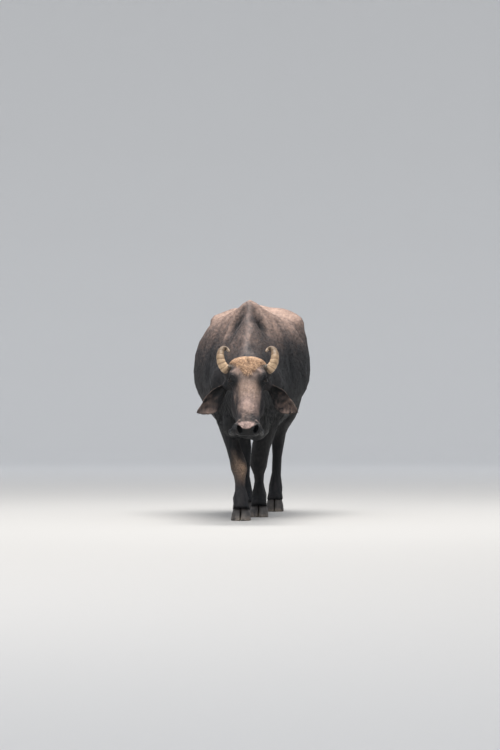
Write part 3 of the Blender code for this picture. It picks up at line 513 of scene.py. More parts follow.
def makeSkin():
    parts = [copyOfNode(name, "skin", skinSet["closing"]) for name in skinSet["nodes"]]
    parts += [makeFill(line, radii) for line, radii in skinSet["fills"]]
    activate(parts[0])
    for part in parts:
        part.select_set(True)
    bpy.ops.object.join()
    skin = bpy.context.view_layer.objects.active
    skin.name = "skin"
    addRemesh(skin, skinSet["voxel"])
    applyModifiers(skin)
    print("skin fused,", len(skin.data.vertices), "points")
    roundFacets(skin)
    points = getPoints(skin)
    offHead = rise(-0.03, 0.03, behindHead(points))
    soften(skin, skinSet["rounds"], softness(points), fall(0.52, 0.64, bodyPlace(points)[2]) * offHead)
    points = getPoints(skin)
    knots = np.zeros(len(points))
    for place, reach in skinSet["knots"]:
        away = np.linalg.norm(points - np.array(withers) - place, axis=1)
        knots = np.maximum(knots, fall(0.6 * reach, 1.3 * reach, away))
    soften(skin, skinSet["rounds"], knots * offHead, knots * 0.6)
    addSmooth(skin, 3)
    applyModifiers(skin)
    points, normals = getPoints(skin), getNormals(skin)
    keepOut = np.maximum(hump(eyeAway(points), 0.03), earAmount(points))
    legs = fall(0.45, 0.62, bodyPlace(points)[2])
    depth = skinSet["closing"] + skinSet["coatDepth"] * (1 - keepOut) * (1 - legs) - 0.0024 * legs
    setPoints(skin, points - normals * depth[:, None])
    sculptBody(skin)
    print("skin softened")
    points = getPoints(skin)
    _, u, v = facePlace(points)
    onHead = fall(0.0, 0.06, behindHead(points))
    fine = np.maximum(hump(eyeAway(points), 0.045) > 0.3, rise(0.17, 0.19, u) * (v > -0.13))
    fine = fine * (onHead > 0.5)
    weights = np.clip(1 - 0.80 * onHead, 0.1, 1)
    weights[fine > 0.5] = 0
    thin = skin.modifiers.new("thin", "DECIMATE")
    thin.ratio = skinSet["triangles"] / (2 * len(skin.data.polygons))
    thin.vertex_group = weightGroup(skin, "thin", weights)
    thin.vertex_group_factor = 1.0
    applyModifiers(skin)
    print("skin thinned,", len(skin.data.polygons), "faces")
    refineHead(skin)
    sculptHead(skin)
    skin.vertex_groups.clear()
    skin.data.shade_smooth()
    print("skin sculpted,", sum(len(p.vertices) - 2 for p in skin.data.polygons), "triangles")
    return skin


def refineHead(skin):
    for bandMouth, withEyes in ((0.020, True), (0.007, False)):
        centres = faceCentres(skin)
        hx, u, v = facePlace(centres)
        away, along = mouthAway(centres)
        keep = (along > 0.2) & (np.abs(away) < bandMouth)
        if withEyes:
            keep |= eyeAway(centres) < 0.046
            keep |= (u > 0.20) & (v > -0.060) & (np.abs(hx) < 0.10)
        activate(skin)
        selectFaces(skin, keep & (behindHead(centres) < 0))
        bpy.ops.object.mode_set(mode="EDIT")
        bpy.ops.mesh.select_mode(type="FACE")
        bpy.ops.mesh.subdivide(number_cuts=1)
        bpy.ops.object.mode_set(mode="OBJECT")


faceSet = {
    "ridges": (           # start, end in the head's frame, height, width
        ((0.082, 0.170, -0.050), (0.070, 0.300, -0.056), 0.0022, 0.012),   # facial crest
        ((0.087, 0.150, -0.022), (0.066, 0.225, -0.034), -0.0020, 0.006),  # tear groove
        ((0.050, 0.215, -0.012), (0.044, 0.400, -0.022), -0.0016, 0.008),  # beside the nose bone
        ((0.086, 0.245, -0.105), (0.072, 0.330, -0.112), -0.0018, 0.008),  # behind the corner of the mouth
        ((0.062, 0.400, -0.070), (0.050, 0.445, -0.085), -0.0020, 0.008),
        ((0.000, 0.470, -0.030), (0.000, 0.500, -0.095), -0.0022, 0.0040),  # parting of the upper lip
        ((0.048, 0.410, -0.018), (0.072, 0.430, -0.032), 0.0030, 0.0070),   # wing of the nostril
        ((0.072, 0.430, -0.032), (0.086, 0.455, -0.046), 0.0042, 0.0070),
        ((0.086, 0.455, -0.046), (0.096, 0.476, -0.082), 0.0036, 0.0085),
        ((0.066, 0.470, -0.050), (0.060, 0.492, -0.080), -0.0050, 0.0120),  # hollow inside the wing
        ((0.090, 0.420, -0.085), (0.080, 0.395, -0.098), -0.0060, 0.0160),  # jowl drawn in
    ),
    "wrinkleStep": 0.0105,
    "wrinkleHeight": 0.00065,
    "lipRise": 0.022,
}


def sculptHead(skin):
    points, normals = getPoints(skin), getNormals(skin)
    hx, u, v = facePlace(points)
    side = np.abs(hx)
    onHead = fall(-0.01, 0.02, behindHead(points))
    local = np.stack([side, u, v], axis=1)
    push = np.zeros(len(points))
    warped = u + 1.3 * hx ** 2 + 0.0045 * ripple(points, 0.050, 2) + 0.0016 * ripple(points, 0.016, 6)
    broken = rise(-0.5, 0.5, ripple(points, 0.034, 5))
    bridge = window(u, 0.24, 0.425, 0.03) * fall(0.030, 0.060, side) * rise(-0.06, -0.03, v)
    bridge *= 0.35 + 0.65 * rise(0.30, 0.39, u)
    wrinkles = faceSet["wrinkleHeight"] * np.sin(2 * np.pi * warped / faceSet["wrinkleStep"])
    push += wrinkles * bridge * (0.25 + 0.75 * broken)
    push += 0.0006 * ripple(points, 0.022, 9) * fall(0.42, 0.44, u)
    away, along = mouthAway(points)
    push -= 0.0046 * hump(away, 0.0021) * along
    push += 0.0020 * hump(np.abs(away) - 0.0085, 0.0060) * along
    reach = nostrilReach(points)
    push += 0.0030 * hump(reach - 1.28, 0.22)
    near = eyeAway(points)
    lidWrinkle = np.sin(2 * np.pi * near / 0.0088 + 1.5 * np.sin(40 * u))
    push += 0.0009 * lidWrinkle * window(near, 0.029, 0.047, 0.004)
    for start, end, height, width in faceSet["ridges"]:
        distance, _ = lineDistance(local, start, end)
        push += height * hump(distance, width)
    points = points + normals * (push * onHead)[:, None]
    radius = headSet["eyeRadius"]
    for sideSign in (1, -1):         # a shallow dish behind each eyeball
        centre = np.array(eyeCentres[sideSign])
        offset = points - centre
        distance = np.linalg.norm(offset, axis=1)
        inside = openingAmount(unit(offset), sideSign) * (distance < radius + 0.014)
        target = distance * (1 - inside) + np.minimum(distance, radius - 0.003) * inside
        points = centre + offset * (target / np.maximum(distance, 1e-6))[:, None]
    muzzle = rise(0.385, 0.435, u) * (behindHead(points) < 0)
    points -= np.array(sideAxis) * (0.36 * np.clip(hx - 0.060, 0, 1) * muzzle)[:, None]
    points -= np.array(downAxis) * (0.30 * np.clip(u - 0.468, 0, 1) * muzzle)[:, None]
    underLip = rise(-0.050, -0.100, v) * rise(0.40, 0.47, u) * (behindHead(points) < 0)
    points -= np.array(downAxis) * (faceSet["lipRise"] * underLip)[:, None]
    setPoints(skin, points)


# Eyes and lids
eyeSet = {"along": 0.0192, "high": 0.0108, "segments": 64, "rings": 40, "corneaRise": 0.0009,
          "lidRings": (0.30, 2.05),      # rings that become the lids, as angles from the axis
          "lidThickness": 0.0016,
          "browns": ((0.006, 0.004, 0.003, 1), (0.018, 0.010, 0.006, 1)),
          "pupil": (0.002, 0.002, 0.003, 1),
          "rims": ((0.56, 0.66, (0.006, 0.004, 0.004, 1)),       # start, end, colour
                   (0.74, 0.95, (0.022, 0.017, 0.016, 1)))}


def eyeAxes(side):
    out = headTurn(side * 0.74, -0.66, 0.12).normalized()
    alongLid = (downAxis - out * downAxis.dot(out)).normalized()
    alongLid = (alongLid + headTurn(-side * 0.5, -0.9, 0.45)).normalized()
    alongLid = (alongLid - out * alongLid.dot(out)).normalized()
    up = out.cross(alongLid)
    if up.z < 0:
        up = -up
    return out, alongLid, up


def openingEdge(angle):
    # how far the almond opening reaches from the eye's axis, as an angle, in each direction
    radius = headSet["eyeRadius"]
    a, b = eyeSet["along"] / radius, eyeSet["high"] / radius
    flat = 1 / np.sqrt((np.cos(angle) / a) ** 2 + (np.abs(np.sin(angle)) / b) ** 2)
    pinch = 1 - 0.10 * np.abs(np.cos(angle)) ** 3 * np.abs(np.sin(angle)) * 2
    return np.arcsin(np.clip(flat * pinch, 0, 0.985))


def eyeAngles(directions, side):
    out, alongLid, up = (np.array(axis) for axis in eyeAxes(side))
    away = np.arccos(np.clip(directions @ out, -1, 1))
    return away, np.arctan2(directions @ up, directions @ alongLid)


def openingAmount(directions, side):
    away, angle = eyeAngles(directions, side)
    return fall(-0.04, 0.16, away - openingEdge(angle))


def addBall(name, centre, out, radius):
    bpy.ops.object.select_all(action="DESELECT")
    turn = out.to_track_quat("Z", "Y").to_euler()
    bpy.ops.mesh.primitive_uv_sphere_add(segments=eyeSet["segments"], ring_count=eyeSet["rings"],
                                         radius=radius, location=centre, rotation=turn)
    ball = bpy.context.active_object
    ball.name = name
    bpy.ops.object.transform_apply(location=True, rotation=True, scale=True)
    return ball


def makeEye(side, tag):
    out, _, _ = eyeAxes(side)
    centre, radius = eyeCentres[side], headSet["eyeRadius"]
    eye = addBall("eyeball_" + tag, centre, out, radius)
    points = getPoints(eye)
    offset = points - np.array(centre)
    facing = offset @ np.array(out) / radius
    cornea = rise(0.70, 0.96, facing)
    setPoints(eye, points + unit(offset) * (eyeSet["corneaRise"] * cornea)[:, None])
    eye.data.shade_smooth()
    return finishPiece(eye, eyeMaterial("eyeGloss_" + tag, side), "eye", "eye_" + tag)


def makeLids(side, tag):
    out, _, _ = eyeAxes(side)
    centre, radius = eyeCentres[side], headSet["eyeRadius"]
    lids = addBall("eyelids_" + tag, centre, out, radius)
    bm = bmesh.new()
    bm.from_mesh(lids.data)
    first, last = eyeSet["lidRings"]
    drop = []
    for vert in bm.verts:
        away = math.acos(max(-1, min(1, (vert.co - centre).normalized().dot(out))))
        if away < first or away > last:
            drop.append(vert)
    bmesh.ops.delete(bm, geom=drop, context="VERTS")
    bm.to_mesh(lids.data)
    bm.free()
    offset = getPoints(lids) - np.array(centre)
    away, angle = eyeAngles(unit(offset), side)
    low, high = away.min(), away.max()
    t = (away - low) / (high - low)
    edge = openingEdge(angle)
    outer = np.clip(edge + 0.62, 1.15, 1.75)
    newAway = edge + (outer - edge) * t
    upper = rise(-0.2, 0.5, np.sin(angle))
    fold = hump(t - 0.34, 0.10) * (0.4 + 0.6 * upper)
    crease = 0.0016 * np.sin(t * 21 + 1.2 * np.sin(3 * angle)) * window(t, 0.25, 0.95, 0.1)
    lift = 0.0007 + 0.0024 * rise(0.0, 0.10, t) + 0.0016 * fold + 0.6 * crease
    lift -= 0.0030 * rise(0.72, 1.0, t)
    outA, alongA, upA = (np.array(axis) for axis in eyeAxes(side))
    across = np.cos(angle)[:, None] * alongA + np.sin(angle)[:, None] * upA
    direction = np.cos(newAway)[:, None] * outA + np.sin(newAway)[:, None] * across
    setPoints(lids, np.array(centre) + direction * (radius + lift)[:, None])
    solid = lids.modifiers.new("lid", "SOLIDIFY")
    solid.thickness = eyeSet["lidThickness"]
    solid.offset = -1
    rounded = lids.modifiers.new("round", "SUBSURF")
    rounded.levels = rounded.render_levels = 1
    applyModifiers(lids)
    lids.data.shade_smooth()
    points = getPoints(lids)
    marks = np.zeros((len(points), 4))
    distance = np.linalg.norm(points - np.array(centre), axis=1) - radius
    # upper lid lighter away from the eye: painted highlight; darker at the lid edge and more on the lower
    # lid: dark lid skin and painted shade
    upperLid = rise(0.2, 0.8, unit(points - np.array(centre)) @ upA)
    marks[:, 0] = 0.06 + 0.26 * rise(0.002, 0.005, distance) * upperLid
    marks[:, 3] = 0.80 - 0.55 * rise(0.001, 0.0035, distance) * (0.3 + 0.7 * upperLid)
    shareMarks(lids, marks)
    shareValue(lids, "wet", fall(0.0008, 0.0026, distance))
    return finishPiece(lids, skinMaterial, "hide")


# Materials
def plug(tree, node, sockets):
    for key, value in sockets.items():
        if isinstance(value, bpy.types.NodeSocket):
            tree.links.new(value, node.inputs[key])
        else:
            node.inputs[key].default_value = value


def put(tree, kind, sockets=None, **fields):
    node = tree.nodes.new(kind)
    for field, value in fields.items():
        setattr(node, field, value)
    plug(tree, node, sockets or {})
    return node


def readShare(tree, name, output="Fac"):
    return put(tree, "ShaderNodeAttribute", attribute_name=name, attribute_type="GEOMETRY").outputs[output]


def objectPlace(tree):
    return put(tree, "ShaderNodeTexCoord").outputs["Object"]


def calc(tree, operation, a, b=0.0, clamp=False):
    return put(tree, "ShaderNodeMath", {0: a, 1: b}, operation=operation, use_clamp=clamp).outputs[0]


def times(tree, a, b, clamp=False):
    return calc(tree, "MULTIPLY", a, b, clamp)


def plus(tree, a, b, clamp=False):
    return calc(tree, "ADD", a, b, clamp)


def addVaried(tree, base, source, share):
    # the source's swing about its middle, added to the base
    return plus(tree, base, times(tree, calc(tree, "SUBTRACT", source, 0.5), share))


def blendColour(tree, factor, a, b):
    return put(tree, "ShaderNodeMix", {0: factor, 6: a, 7: b}, data_type="RGBA").outputs[2]


def remap(tree, value, low, high, newLow=0.0, newHigh=1.0):
    sockets = {0: value, 1: low, 2: high, 3: newLow, 4: newHigh}
    return put(tree, "ShaderNodeMapRange", sockets, interpolation_type="SMOOTHSTEP").outputs[0]


def noise(tree, vector, scale, detail=3.0, rough=0.55):
    sockets = {"Vector": vector, "Scale": scale, "Detail": detail, "Roughness": rough}
    return put(tree, "ShaderNodeTexNoise", sockets).outputs[0]


def stretched(tree, vector, scale, slant=0.0):
    sockets = {"Vector": vector, "Scale": scale, "Rotation": (math.radians(slant), 0, 0)}
    return put(tree, "ShaderNodeMapping", sockets).outputs[0]


def bumpFrom(tree, height, strength, distance):
    sockets = {"Strength": strength, "Distance": distance, "Height": height}
    return put(tree, "ShaderNodeBump", sockets).outputs[0]


def ramp(tree, value, stops):
    node = put(tree, "ShaderNodeValToRGB", {0: value})
    elements = node.color_ramp.elements
    while len(elements) < len(stops):
        elements.new(0.5)
    for element, (place, colour) in zip(elements, stops):
        element.position = place
        element.color = (*colour, 1)
    return node.outputs[0]


hideColours = {
    "tones": ((0.00, (0.008, 0.009, 0.011)), (0.30, (0.029, 0.026, 0.027)), (0.55, (0.112, 0.082, 0.071)),
              (0.78, (0.258, 0.180, 0.146)), (1.00, (0.400, 0.278, 0.220))),      # bare hide to dusty; the light end also stands for painted top light and highlights
    "pink": (0.480, 0.340, 0.300, 1),
    "gold": (0.620, 0.420, 0.275, 1),
    "goldDark": (0.300, 0.195, 0.130, 1),
    "black": (0.004, 0.005, 0.006, 1),
}


def newGroup(name, inputs, outputs):
    group = bpy.data.node_groups.new(name, "ShaderNodeTree")
    for label, kind in inputs:
        group.interface.new_socket(name=label, in_out="INPUT", socket_type=kind)
    for label, kind in outputs:
        group.interface.new_socket(name=label, in_out="OUTPUT", socket_type=kind)
    return group, group.nodes.new("NodeGroupInput"), group.nodes.new("NodeGroupOutput")


def hideTones():
    # markings of the hide, shared by the skin and the coat on it
    number, tint = "NodeSocketFloat", "NodeSocketColor"
    group, given, made = newGroup("hideTones", (("Marks", tint), ("Shade", number), ("Lock", number)),
                                  (("Colour", tint), ("Streak", number), ("Mottle", number)))
    place, lock = objectPlace(group), given.outputs["Lock"]
    split = put(group, "ShaderNodeSeparateColor", {0: given.outputs["Marks"]})
    slant = noise(group, stretched(group, place, (62, 7, 62), -30), 1.0, 3.0, 0.6)
    plumb = noise(group, stretched(group, place, (70, 70, 9), 20), 1.0, 3.0, 0.6)
    upright = readShare(group, "upright")
    slanted = times(group, slant, calc(group, "SUBTRACT", 1.0, upright))
    streak = plus(group, slanted, times(group, plumb, upright))
    mottle = noise(group, place, 9.0, 4.0, 0.6)
    fleck = noise(group, place, 46.0, 3.0, 0.6)
    # the first share: dust, with painted top light and highlights
    dust = split.outputs[0]
    for source, share in ((mottle, 0.42), (streak, 0.60), (fleck, 0.14), (lock, 0.12)):
        dust = addVaried(group, dust, source, share)
    colour = ramp(group, calc(group, "MAXIMUM", dust, 0.0, clamp=True), hideColours["tones"])
    pinkAmount = times(group, split.outputs[1], remap(group, fleck, 0.30, 0.62, 0.55, 1.0))
    colour = blendColour(group, pinkAmount, colour, hideColours["pink"])
    curl = addVaried(group, noise(group, place, 120.0, 2.0, 0.5), lock, 0.30)
    lightCurl = remap(group, curl, 0.36, 0.64)
    goldTone = blendColour(group, lightCurl, hideColours["goldDark"], hideColours["gold"])
    colour = blendColour(group, split.outputs[2], colour, goldTone)
    # painted shade: the Shade share darkens towards near black; on the lashes and the switch hair it is
    # their own dark colour
    colour = blendColour(group, given.outputs["Shade"], colour, hideColours["black"])
    plug(group, made, {"Colour": colour, "Streak": streak, "Mottle": mottle})
    return group


def newMaterial(name):
    material = bpy.data.materials.new(name)
    material.use_nodes = True
    return material, material.node_tree, material.node_tree.nodes["Principled BSDF"]


def useTones(tree, tones, lock):
    marks = put(tree, "ShaderNodeAttribute", attribute_name="marks", attribute_type="GEOMETRY")
    sockets = {"Marks": marks.outputs["Color"], "Shade": marks.outputs["Alpha"], "Lock": lock}
    return put(tree, "ShaderNodeGroup", sockets, node_tree=tones)


def makeSkinMaterial(tones):
    material, tree, shader = newMaterial("bareHide")
    tone = useTones(tree, tones, 0.5)
    place = objectPlace(tree)
    dry = remap(tree, tone.outputs["Mottle"], 0.3, 0.7, 0.50, 0.66)
    rough = calc(tree, "SUBTRACT", dry, times(tree, readShare(tree, "wet"), 0.34))
    height = times(tree, noise(tree, stretched(tree, place, (420, 50, 420), -30), 1.0, 2.0), 0.7)
    for scale, edge, share in ((210.0, 0.22, 0.35), (62.0, 0.16, 0.45)):     # fine grain, then creases
        sockets = {"Vector": place, "Scale": scale}
        cells = put(tree, "ShaderNodeTexVoronoi", sockets, feature="DISTANCE_TO_EDGE")
        height = plus(tree, height, times(tree, remap(tree, cells.outputs[0], 0.0, edge), share))
    plug(tree, shader, {"Base Color": tone.outputs["Colour"], "Roughness": rough,
                        "Specular IOR Level": 0.24, "Normal": bumpFrom(tree, height, 0.55, 0.0012)})
    return material


def makeCoatMaterial(name, tones, darkRoot, brightTip, roughness=0.58):
    material, tree, shader = newMaterial(name)
    lock = readShare(tree, "lock")
    tone = useTones(tree, tones, lock)
    # brightness from root to tip of each tuft: painted light that offsets the tufts' own shading, and on the
    # curls a darker root as painted shade
    gain = remap(tree, readShare(tree, "along"), 0.0, 1.0, darkRoot, brightTip)
    sockets = {0: tone.outputs["Colour"], "Scale": gain}
    bright = put(tree, "ShaderNodeVectorMath", sockets, operation="SCALE").outputs[0]
    rough = remap(tree, lock, 0.0, 1.0, roughness - 0.08, roughness + 0.08)
    plug(tree, shader, {"Base Color": bright, "Roughness": rough, "Specular IOR Level": 0.10})
    return material


def ovalAway(tree, wide, high):
    squares = [calc(tree, "POWER", calc(tree, "ABSOLUTE", part), 2.0) for part in (wide, high)]
    return calc(tree, "SQRT", plus(tree, *squares))


def eyeMaterial(name, side):
    material, tree, shader = newMaterial(name)
    _, alongLid, up = eyeAxes(side)
    place = objectPlace(tree)
    sockets = {0: place, 1: tuple(eyeCentres[side])}
    away = put(tree, "ShaderNodeVectorMath", sockets, operation="SUBTRACT").outputs[0]
    wide, high = (put(tree, "ShaderNodeVectorMath", {0: away, 1: tuple(axis / headSet["eyeRadius"])},
                      operation="DOT_PRODUCT").outputs["Value"] for axis in (alongLid, up))
    iris = ovalAway(tree, wide, high)
    pupil = ovalAway(tree, calc(tree, "DIVIDE", wide, 0.36), calc(tree, "DIVIDE", high, 0.19))
    colour = blendColour(tree, noise(tree, place, 900.0, 2.0), *eyeSet["browns"])
    colour = blendColour(tree, remap(tree, pupil, 0.92, 1.08), eyeSet["pupil"], colour)
    for start, end, tint in eyeSet["rims"]:
        colour = blendColour(tree, remap(tree, iris, start, end), colour, tint)
    plug(tree, shader, {"Base Color": colour, "Roughness": 0.25, "Specular IOR Level": 0.1,
                        "Coat Weight": 0.45, "Coat Roughness": 0.03})
    return material


tones = hideTones()
skinMaterial = makeSkinMaterial(tones)
coatMaterial = makeCoatMaterial("shortCoat", tones, 1.05, 1.35)
curlMaterial = makeCoatMaterial("pollCurls", tones, 0.85, 1.25, 0.60)


# Markings, worked out from the place on the body: dusty tan with painted top light and highlights, pink,
# gold and painted shade, then wetness
markSet = {
    "shoulderLines": (        # start, end, dust, width
        ((0.094, -0.045, 1.228), (0.140, -0.225, 1.035), 0.17, 0.017),    # along the shoulder blades
        ((0.140, -0.020, 1.200), (0.205, -0.070, 0.960), 0.09, 0.026),
        # behind the shoulder, negative: a painted shade line along the crease sculpted there
        ((0.150, 0.080, 1.195), (0.262, -0.010, 0.840), -0.20, 0.022),
    ),
    "darkTufts": ((0.025, -0.693, 1.005), (0.060, -0.657, 1.009)),        # behind the poll
    "crestSway": ((-0.84, -0.60, -0.34, -0.06), (0.050, 0.030, 0.011, 0.0)),
    "wing": (                 # rim of the nostril, painted lighter as a highlight on its ridge
        ((0.046, 0.406, -0.016), (0.072, 0.430, -0.032)),
        ((0.072, 0.430, -0.032), (0.086, 0.455, -0.046)),
        ((0.086, 0.455, -0.046), (0.096, 0.476, -0.082)),
    ),
}


def bodyMarks(points, normals, onHead):
    x, y, z = bodyPlace(points)
    up = normals[:, 2]
    around = np.stack([x / 0.130, 0 * x, (z - 0.90) / 0.176], axis=1)     # as on a plain barrel
    broadUp = 0.45 * up + 0.55 * unit(around)[:, 2]
    patchy = ripple(points, 0.30, 12)
    # dusty tan on top, lighter where the body faces up: dust and painted top light
    dust = 0.12 + 0.60 * rise(0.05, 0.90, broadUp + 0.07 * patchy) * rise(0.66, 1.06, z)
    dust -= 0.30 * rise(-0.02, -0.25, y) * rise(0.3, 0.9, broadUp)
    dust += 0.14 * spot(0.08, x - 0.19, y + 0.33, 0.7 * (z - 0.87))
    dust += 0.15 * rise(0.62, 1.10, z) * rise(-0.15, 0.35, y)
    dust -= 0.08 * fall(0.55, 0.75, z)
    dust += 0.15 * ((x < 0) & (y < 0.1)) * fall(0.24, 0.34, z)            # dusty shin
    dust += 0.14 * spot(0.080, x - 0.02, y + 0.04, z - 1.29)
    dust += 0.07 * rise(-0.20, -0.50, y) * rise(0.70, 0.90, z)
    sway = np.interp(y, *markSet["crestSway"]) + 0.008 * ripple(points, 0.12, 4)
    # paler strip along the neck's crest where it faces up: pale hair and painted top light
    crest = hump(x - sway, 0.030) * window(y, -0.76, -0.22, 0.06) * rise(0.2, 0.6, up)
    dust += 0.10 * crest * (0.7 + 0.5 * ripple(points, 0.07, 8))
    local = np.stack([np.abs(x), y, z], axis=1)
    for start, end, amount, width in markSet["shoulderLines"]:
        away, _ = lineDistance(local, start, end)
        dust += amount * hump(away, width) * (1 + 0.6 * ripple(points, 0.10, 14))
    # painted shade in the hollows either side of the withers, which are also sculpted in
    shade = np.minimum(1.3 * spot(0.050, np.abs(x - 0.012) - 0.073, y + 0.164, z - 1.160), 0.95)
    for tuftX, tuftY, tuftZ in markSet["darkTufts"]:
        shade += 0.9 * spot(0.013, x - tuftX, y - tuftY, 0.5 * z - tuftZ / 2)
    trunk = rise(0.45, 0.60, z)
    # painted shade where the body faces down
    shade += 0.32 * rise(0.10, -0.60, up) * (1 - onHead) * rise(0.35, 0.55, z)
    shade += 0.55 * fall(0.72, 0.86, z) * rise(0.47, 0.56, z) * rise(0.0, -0.25, y)    # painted shade under the head
    shade += 0.36 * rise(0.3, 0.9, normals[:, 0]) * trunk * fall(1.02, 1.16, z)        # painted shade on the left side
    # painted shade on the left flank, below the back
    shade += 0.26 * rise(0.17, 0.22, x) * trunk * fall(1.00, 1.12, z) * (1 - onHead)
    knee = spot(0.046, x + 0.030, y + 0.372, z - 0.302)
    pink = 0.16 * knee * (1 + 0.6 * ripple(points, 0.03, 16))
    gold = 0.55 * knee * (1 + 0.6 * ripple(points, 0.02, 17))
    return dust, pink, gold, shade


def headMarks(points, up):
    hx, u, v = facePlace(points)
    side = np.abs(hx)
    lit = np.where(hx > 0, 0.020, 0.0)
    face = 0.18 + 0.14 * rise(0.105, 0.0, side) * rise(-0.09, -0.02, v)
    # painted top light where the face turns up
    face += 0.14 * rise(0.1, 0.9, up)
    face += 0.20 * fall(0.062, 0.096, side) * rise(-0.085, -0.045, v)
    combed = ripple(np.stack([hx, 0.16 * u, 0 * u], axis=1), 0.020, 27)         # streaks down the face
    face += 0.05 * ripple(points, 0.05, 19) + 0.08 * combed - 0.20 * rise(0.31, 0.39, u)
    face += 0.10 * fall(0.080, 0.118, side) * fall(0.10, 0.15, u)
    # painted shade round the eye, less above it on the brow
    eye = hump(eyeAway(points), 0.045) * (1 - 0.80 * rise(0.134, 0.100, u))
    # painted highlight on the brow ridge above the eye
    browHighlight = spot(0.021, side - 0.080, (u - 0.088) * 1.4, v + 0.006)
    face = face * (1 - 0.8 * eye) + 0.24 * browHighlight
    bridge = window(u, 0.15, 0.43, 0.04) * fall(0.030, 0.066, side - lit) * rise(-0.07, -0.03, v)
    # painted highlight: a pale streak down the middle of the nose bridge, also a little pink
    pale = hump(np.hypot(hx + 0.005, (u - 0.294) * 0.45), 0.020)
    padEdge = 0.461 - 10 * (hx + 0.009) ** 2        # the pale pad between the nostrils ends in a curve
    pad = rise(0.414, 0.427, u) * fall(-0.004, 0.005, u - padEdge)
    pad *= fall(0.040, 0.052, np.abs(hx + 0.009)) * rise(-0.06, -0.04, v)
    pad *= 0.85 + 0.35 * ripple(points, 0.012, 33)
    crown = np.interp(u, (-0.02, 0.03), (0.72, 1.0))
    poll = rise(0.118, 0.0, side * crown + np.clip(u - 0.02, 0, 1) * 0.80) * rise(-0.10, -0.045, v)
    nostril = fall(0.92, 1.20, nostrilReach(points))
    away, along = mouthAway(points)
    lip = hump(away, 0.004) * along
    frontShade = rise(-0.003, 0.008, u - padEdge) * rise(0.430, 0.446, u)
    frontShade *= 0.94 - 0.30 * rise(0.045, 0.060, side)
    # painted highlight along the raised rim of each nostril's wing, which also takes off some painted shade
    wing = np.zeros(len(points))
    for start, end in markSet["wing"]:
        away, _ = lineDistance(np.stack([side, u, v], axis=1), start, end)
        wing = np.maximum(wing, hump(away, 0.0050))
    muzzleShade = rise(0.400, 0.430, u) * rise(0.040, 0.060, side) * 0.62
    cheekShade = rise(0.084, 0.106, side - 1.3 * lit) * rise(0.12, 0.16, u) * rise(-0.03, -0.08, v)
    # painted shade in the socket below the brow
    socket = spot(0.038, side - 0.080, 0.8 * (u - 0.156), v + 0.014) * rise(0.104, 0.138, u)
    # painted shade: in the nostrils, along the mouth line, on the muzzle's front and sides, on the cheeks,
    # round the eye and in the socket
    shade = np.maximum.reduce([0.98 * nostril, 0.92 * lip, frontShade * (1 - 0.75 * wing),
                               muzzleShade * (1 - 0.85 * wing), 0.66 * cheekShade,
                               0.92 * eye * (1 - 0.5 * browHighlight), 0.90 * socket * (1 - 0.7 * browHighlight)])
    face += 0.42 * wing + 0.20 * pale
    pink = np.clip(0.22 * bridge * fall(0.31, 0.39, u) + 0.22 * pale + 0.95 * pad, 0, 1)
    gold = np.clip(np.maximum(poll, 0.22 * bridge * fall(0.20, 0.30, u)), 0, 1)
    return face, pink, gold, shade


def markings(points, normals):
    up = normals[:, 2]
    onHead = fall(-0.015, 0.015, behindHead(points))
    pairs = zip(bodyMarks(points, normals, onHead), headMarks(points, up))
    dust, pink, gold, shade = (mix(body, head, onHead) for body, head in pairs)
    ear, hx = earAmount(points), facePlace(points)[0]
    for sideSign in (1, -1):
        root, reach, front = earAxis(sideSign)
        mine = ear * (hx * sideSign > 0)
        facing = normals @ front
        inner = rise(-0.1, 0.4, facing) * mine
        t = np.clip((points - root) @ reach / earSet["length"], 0, 1)
        streak = rise(0.30, 0.85, t + 0.16 * ripple(points, 0.035, 25))
        rim = hump(facing, 0.45) * rise(-0.2, 0.5, up)
        # painted shadow inside the ear's cup, fading towards the tip and on the rim
        shade = np.where(mine > 0.3, inner * (0.94 - 0.90 * streak) * (1 - 0.8 * rim), shade)
        # ear tone: painted top light where the ear faces up, paler hair in streaks towards the tip, and a
        # pale rim along the upper edge
        tone = 0.20 + 0.16 * rise(0.1, 0.8, up) + 0.32 * inner * streak + 0.50 * rim
        dust = np.where(mine > 0.3, tone, dust)
    return np.clip(np.stack([dust, pink, gold * (1 - ear), shade], axis=1), 0, 1)


def wetness(points):
    _, u, _ = facePlace(points)
    away, along = mouthAway(points)
    nostril = fall(0.92, 1.20, nostrilReach(points))
    wet = 0.8 * rise(0.445, 0.470, u) * (1 - nostril) + 0.8 * hump(away, 0.004) * along
    return np.clip(wet, 0, 1) * (behindHead(points) < 0)


def uprightness(points):
    # where streaks of colour run down instead of back along the body
    return np.maximum(fall(0.55, 0.70, bodyPlace(points)[2]), fall(-0.06, 0.02, behindHead(points)))


skin = makeSkin()
skinPoints, skinNormals = getPoints(skin), getNormals(skin)
shareMarks(skin, markings(skinPoints, skinNormals))
shareValue(skin, "wet", wetness(skinPoints))
shareValue(skin, "upright", uprightness(skinPoints))
finishPiece(skin, skinMaterial, "hide", *skinSet["nodes"])
print("skin marked")

for side, tag in ((1, "left"), (-1, "right")):
    makeEye(side, tag)
    makeLids(side, tag)
print("eyes set")

# Horns: ringed, swept out and up, then hooked back and in
hornSet = {
    "path": ((0.096, 0.015, -0.070), (0.128, 0.000, -0.058), (0.149, -0.004, -0.028), (0.157, 0.008, 0.010),
             (0.153, 0.036, 0.040), (0.140, 0.060, 0.057), (0.120, 0.071, 0.054), (0.104, 0.066, 0.038)),
    "radius": 0.0325,
    "flat": 0.85,
    "around": 64,
    "along": 210,
    "rings": 11.5,
    "ringHeight": 0.0021,
    "slimmer": 0.13,          # share taken off past the root
    "tones": ((0.07, (0.060, 0.046, 0.042)), (0.13, (0.300, 0.210, 0.135)), (0.19, (0.620, 0.440, 0.280)),
              (0.36, (0.360, 0.250, 0.156)), (0.52, (0.150, 0.101, 0.060)), (0.72, (0.150, 0.104, 0.068)),
              (0.94, (0.420, 0.330, 0.250))),      # root to tip
}


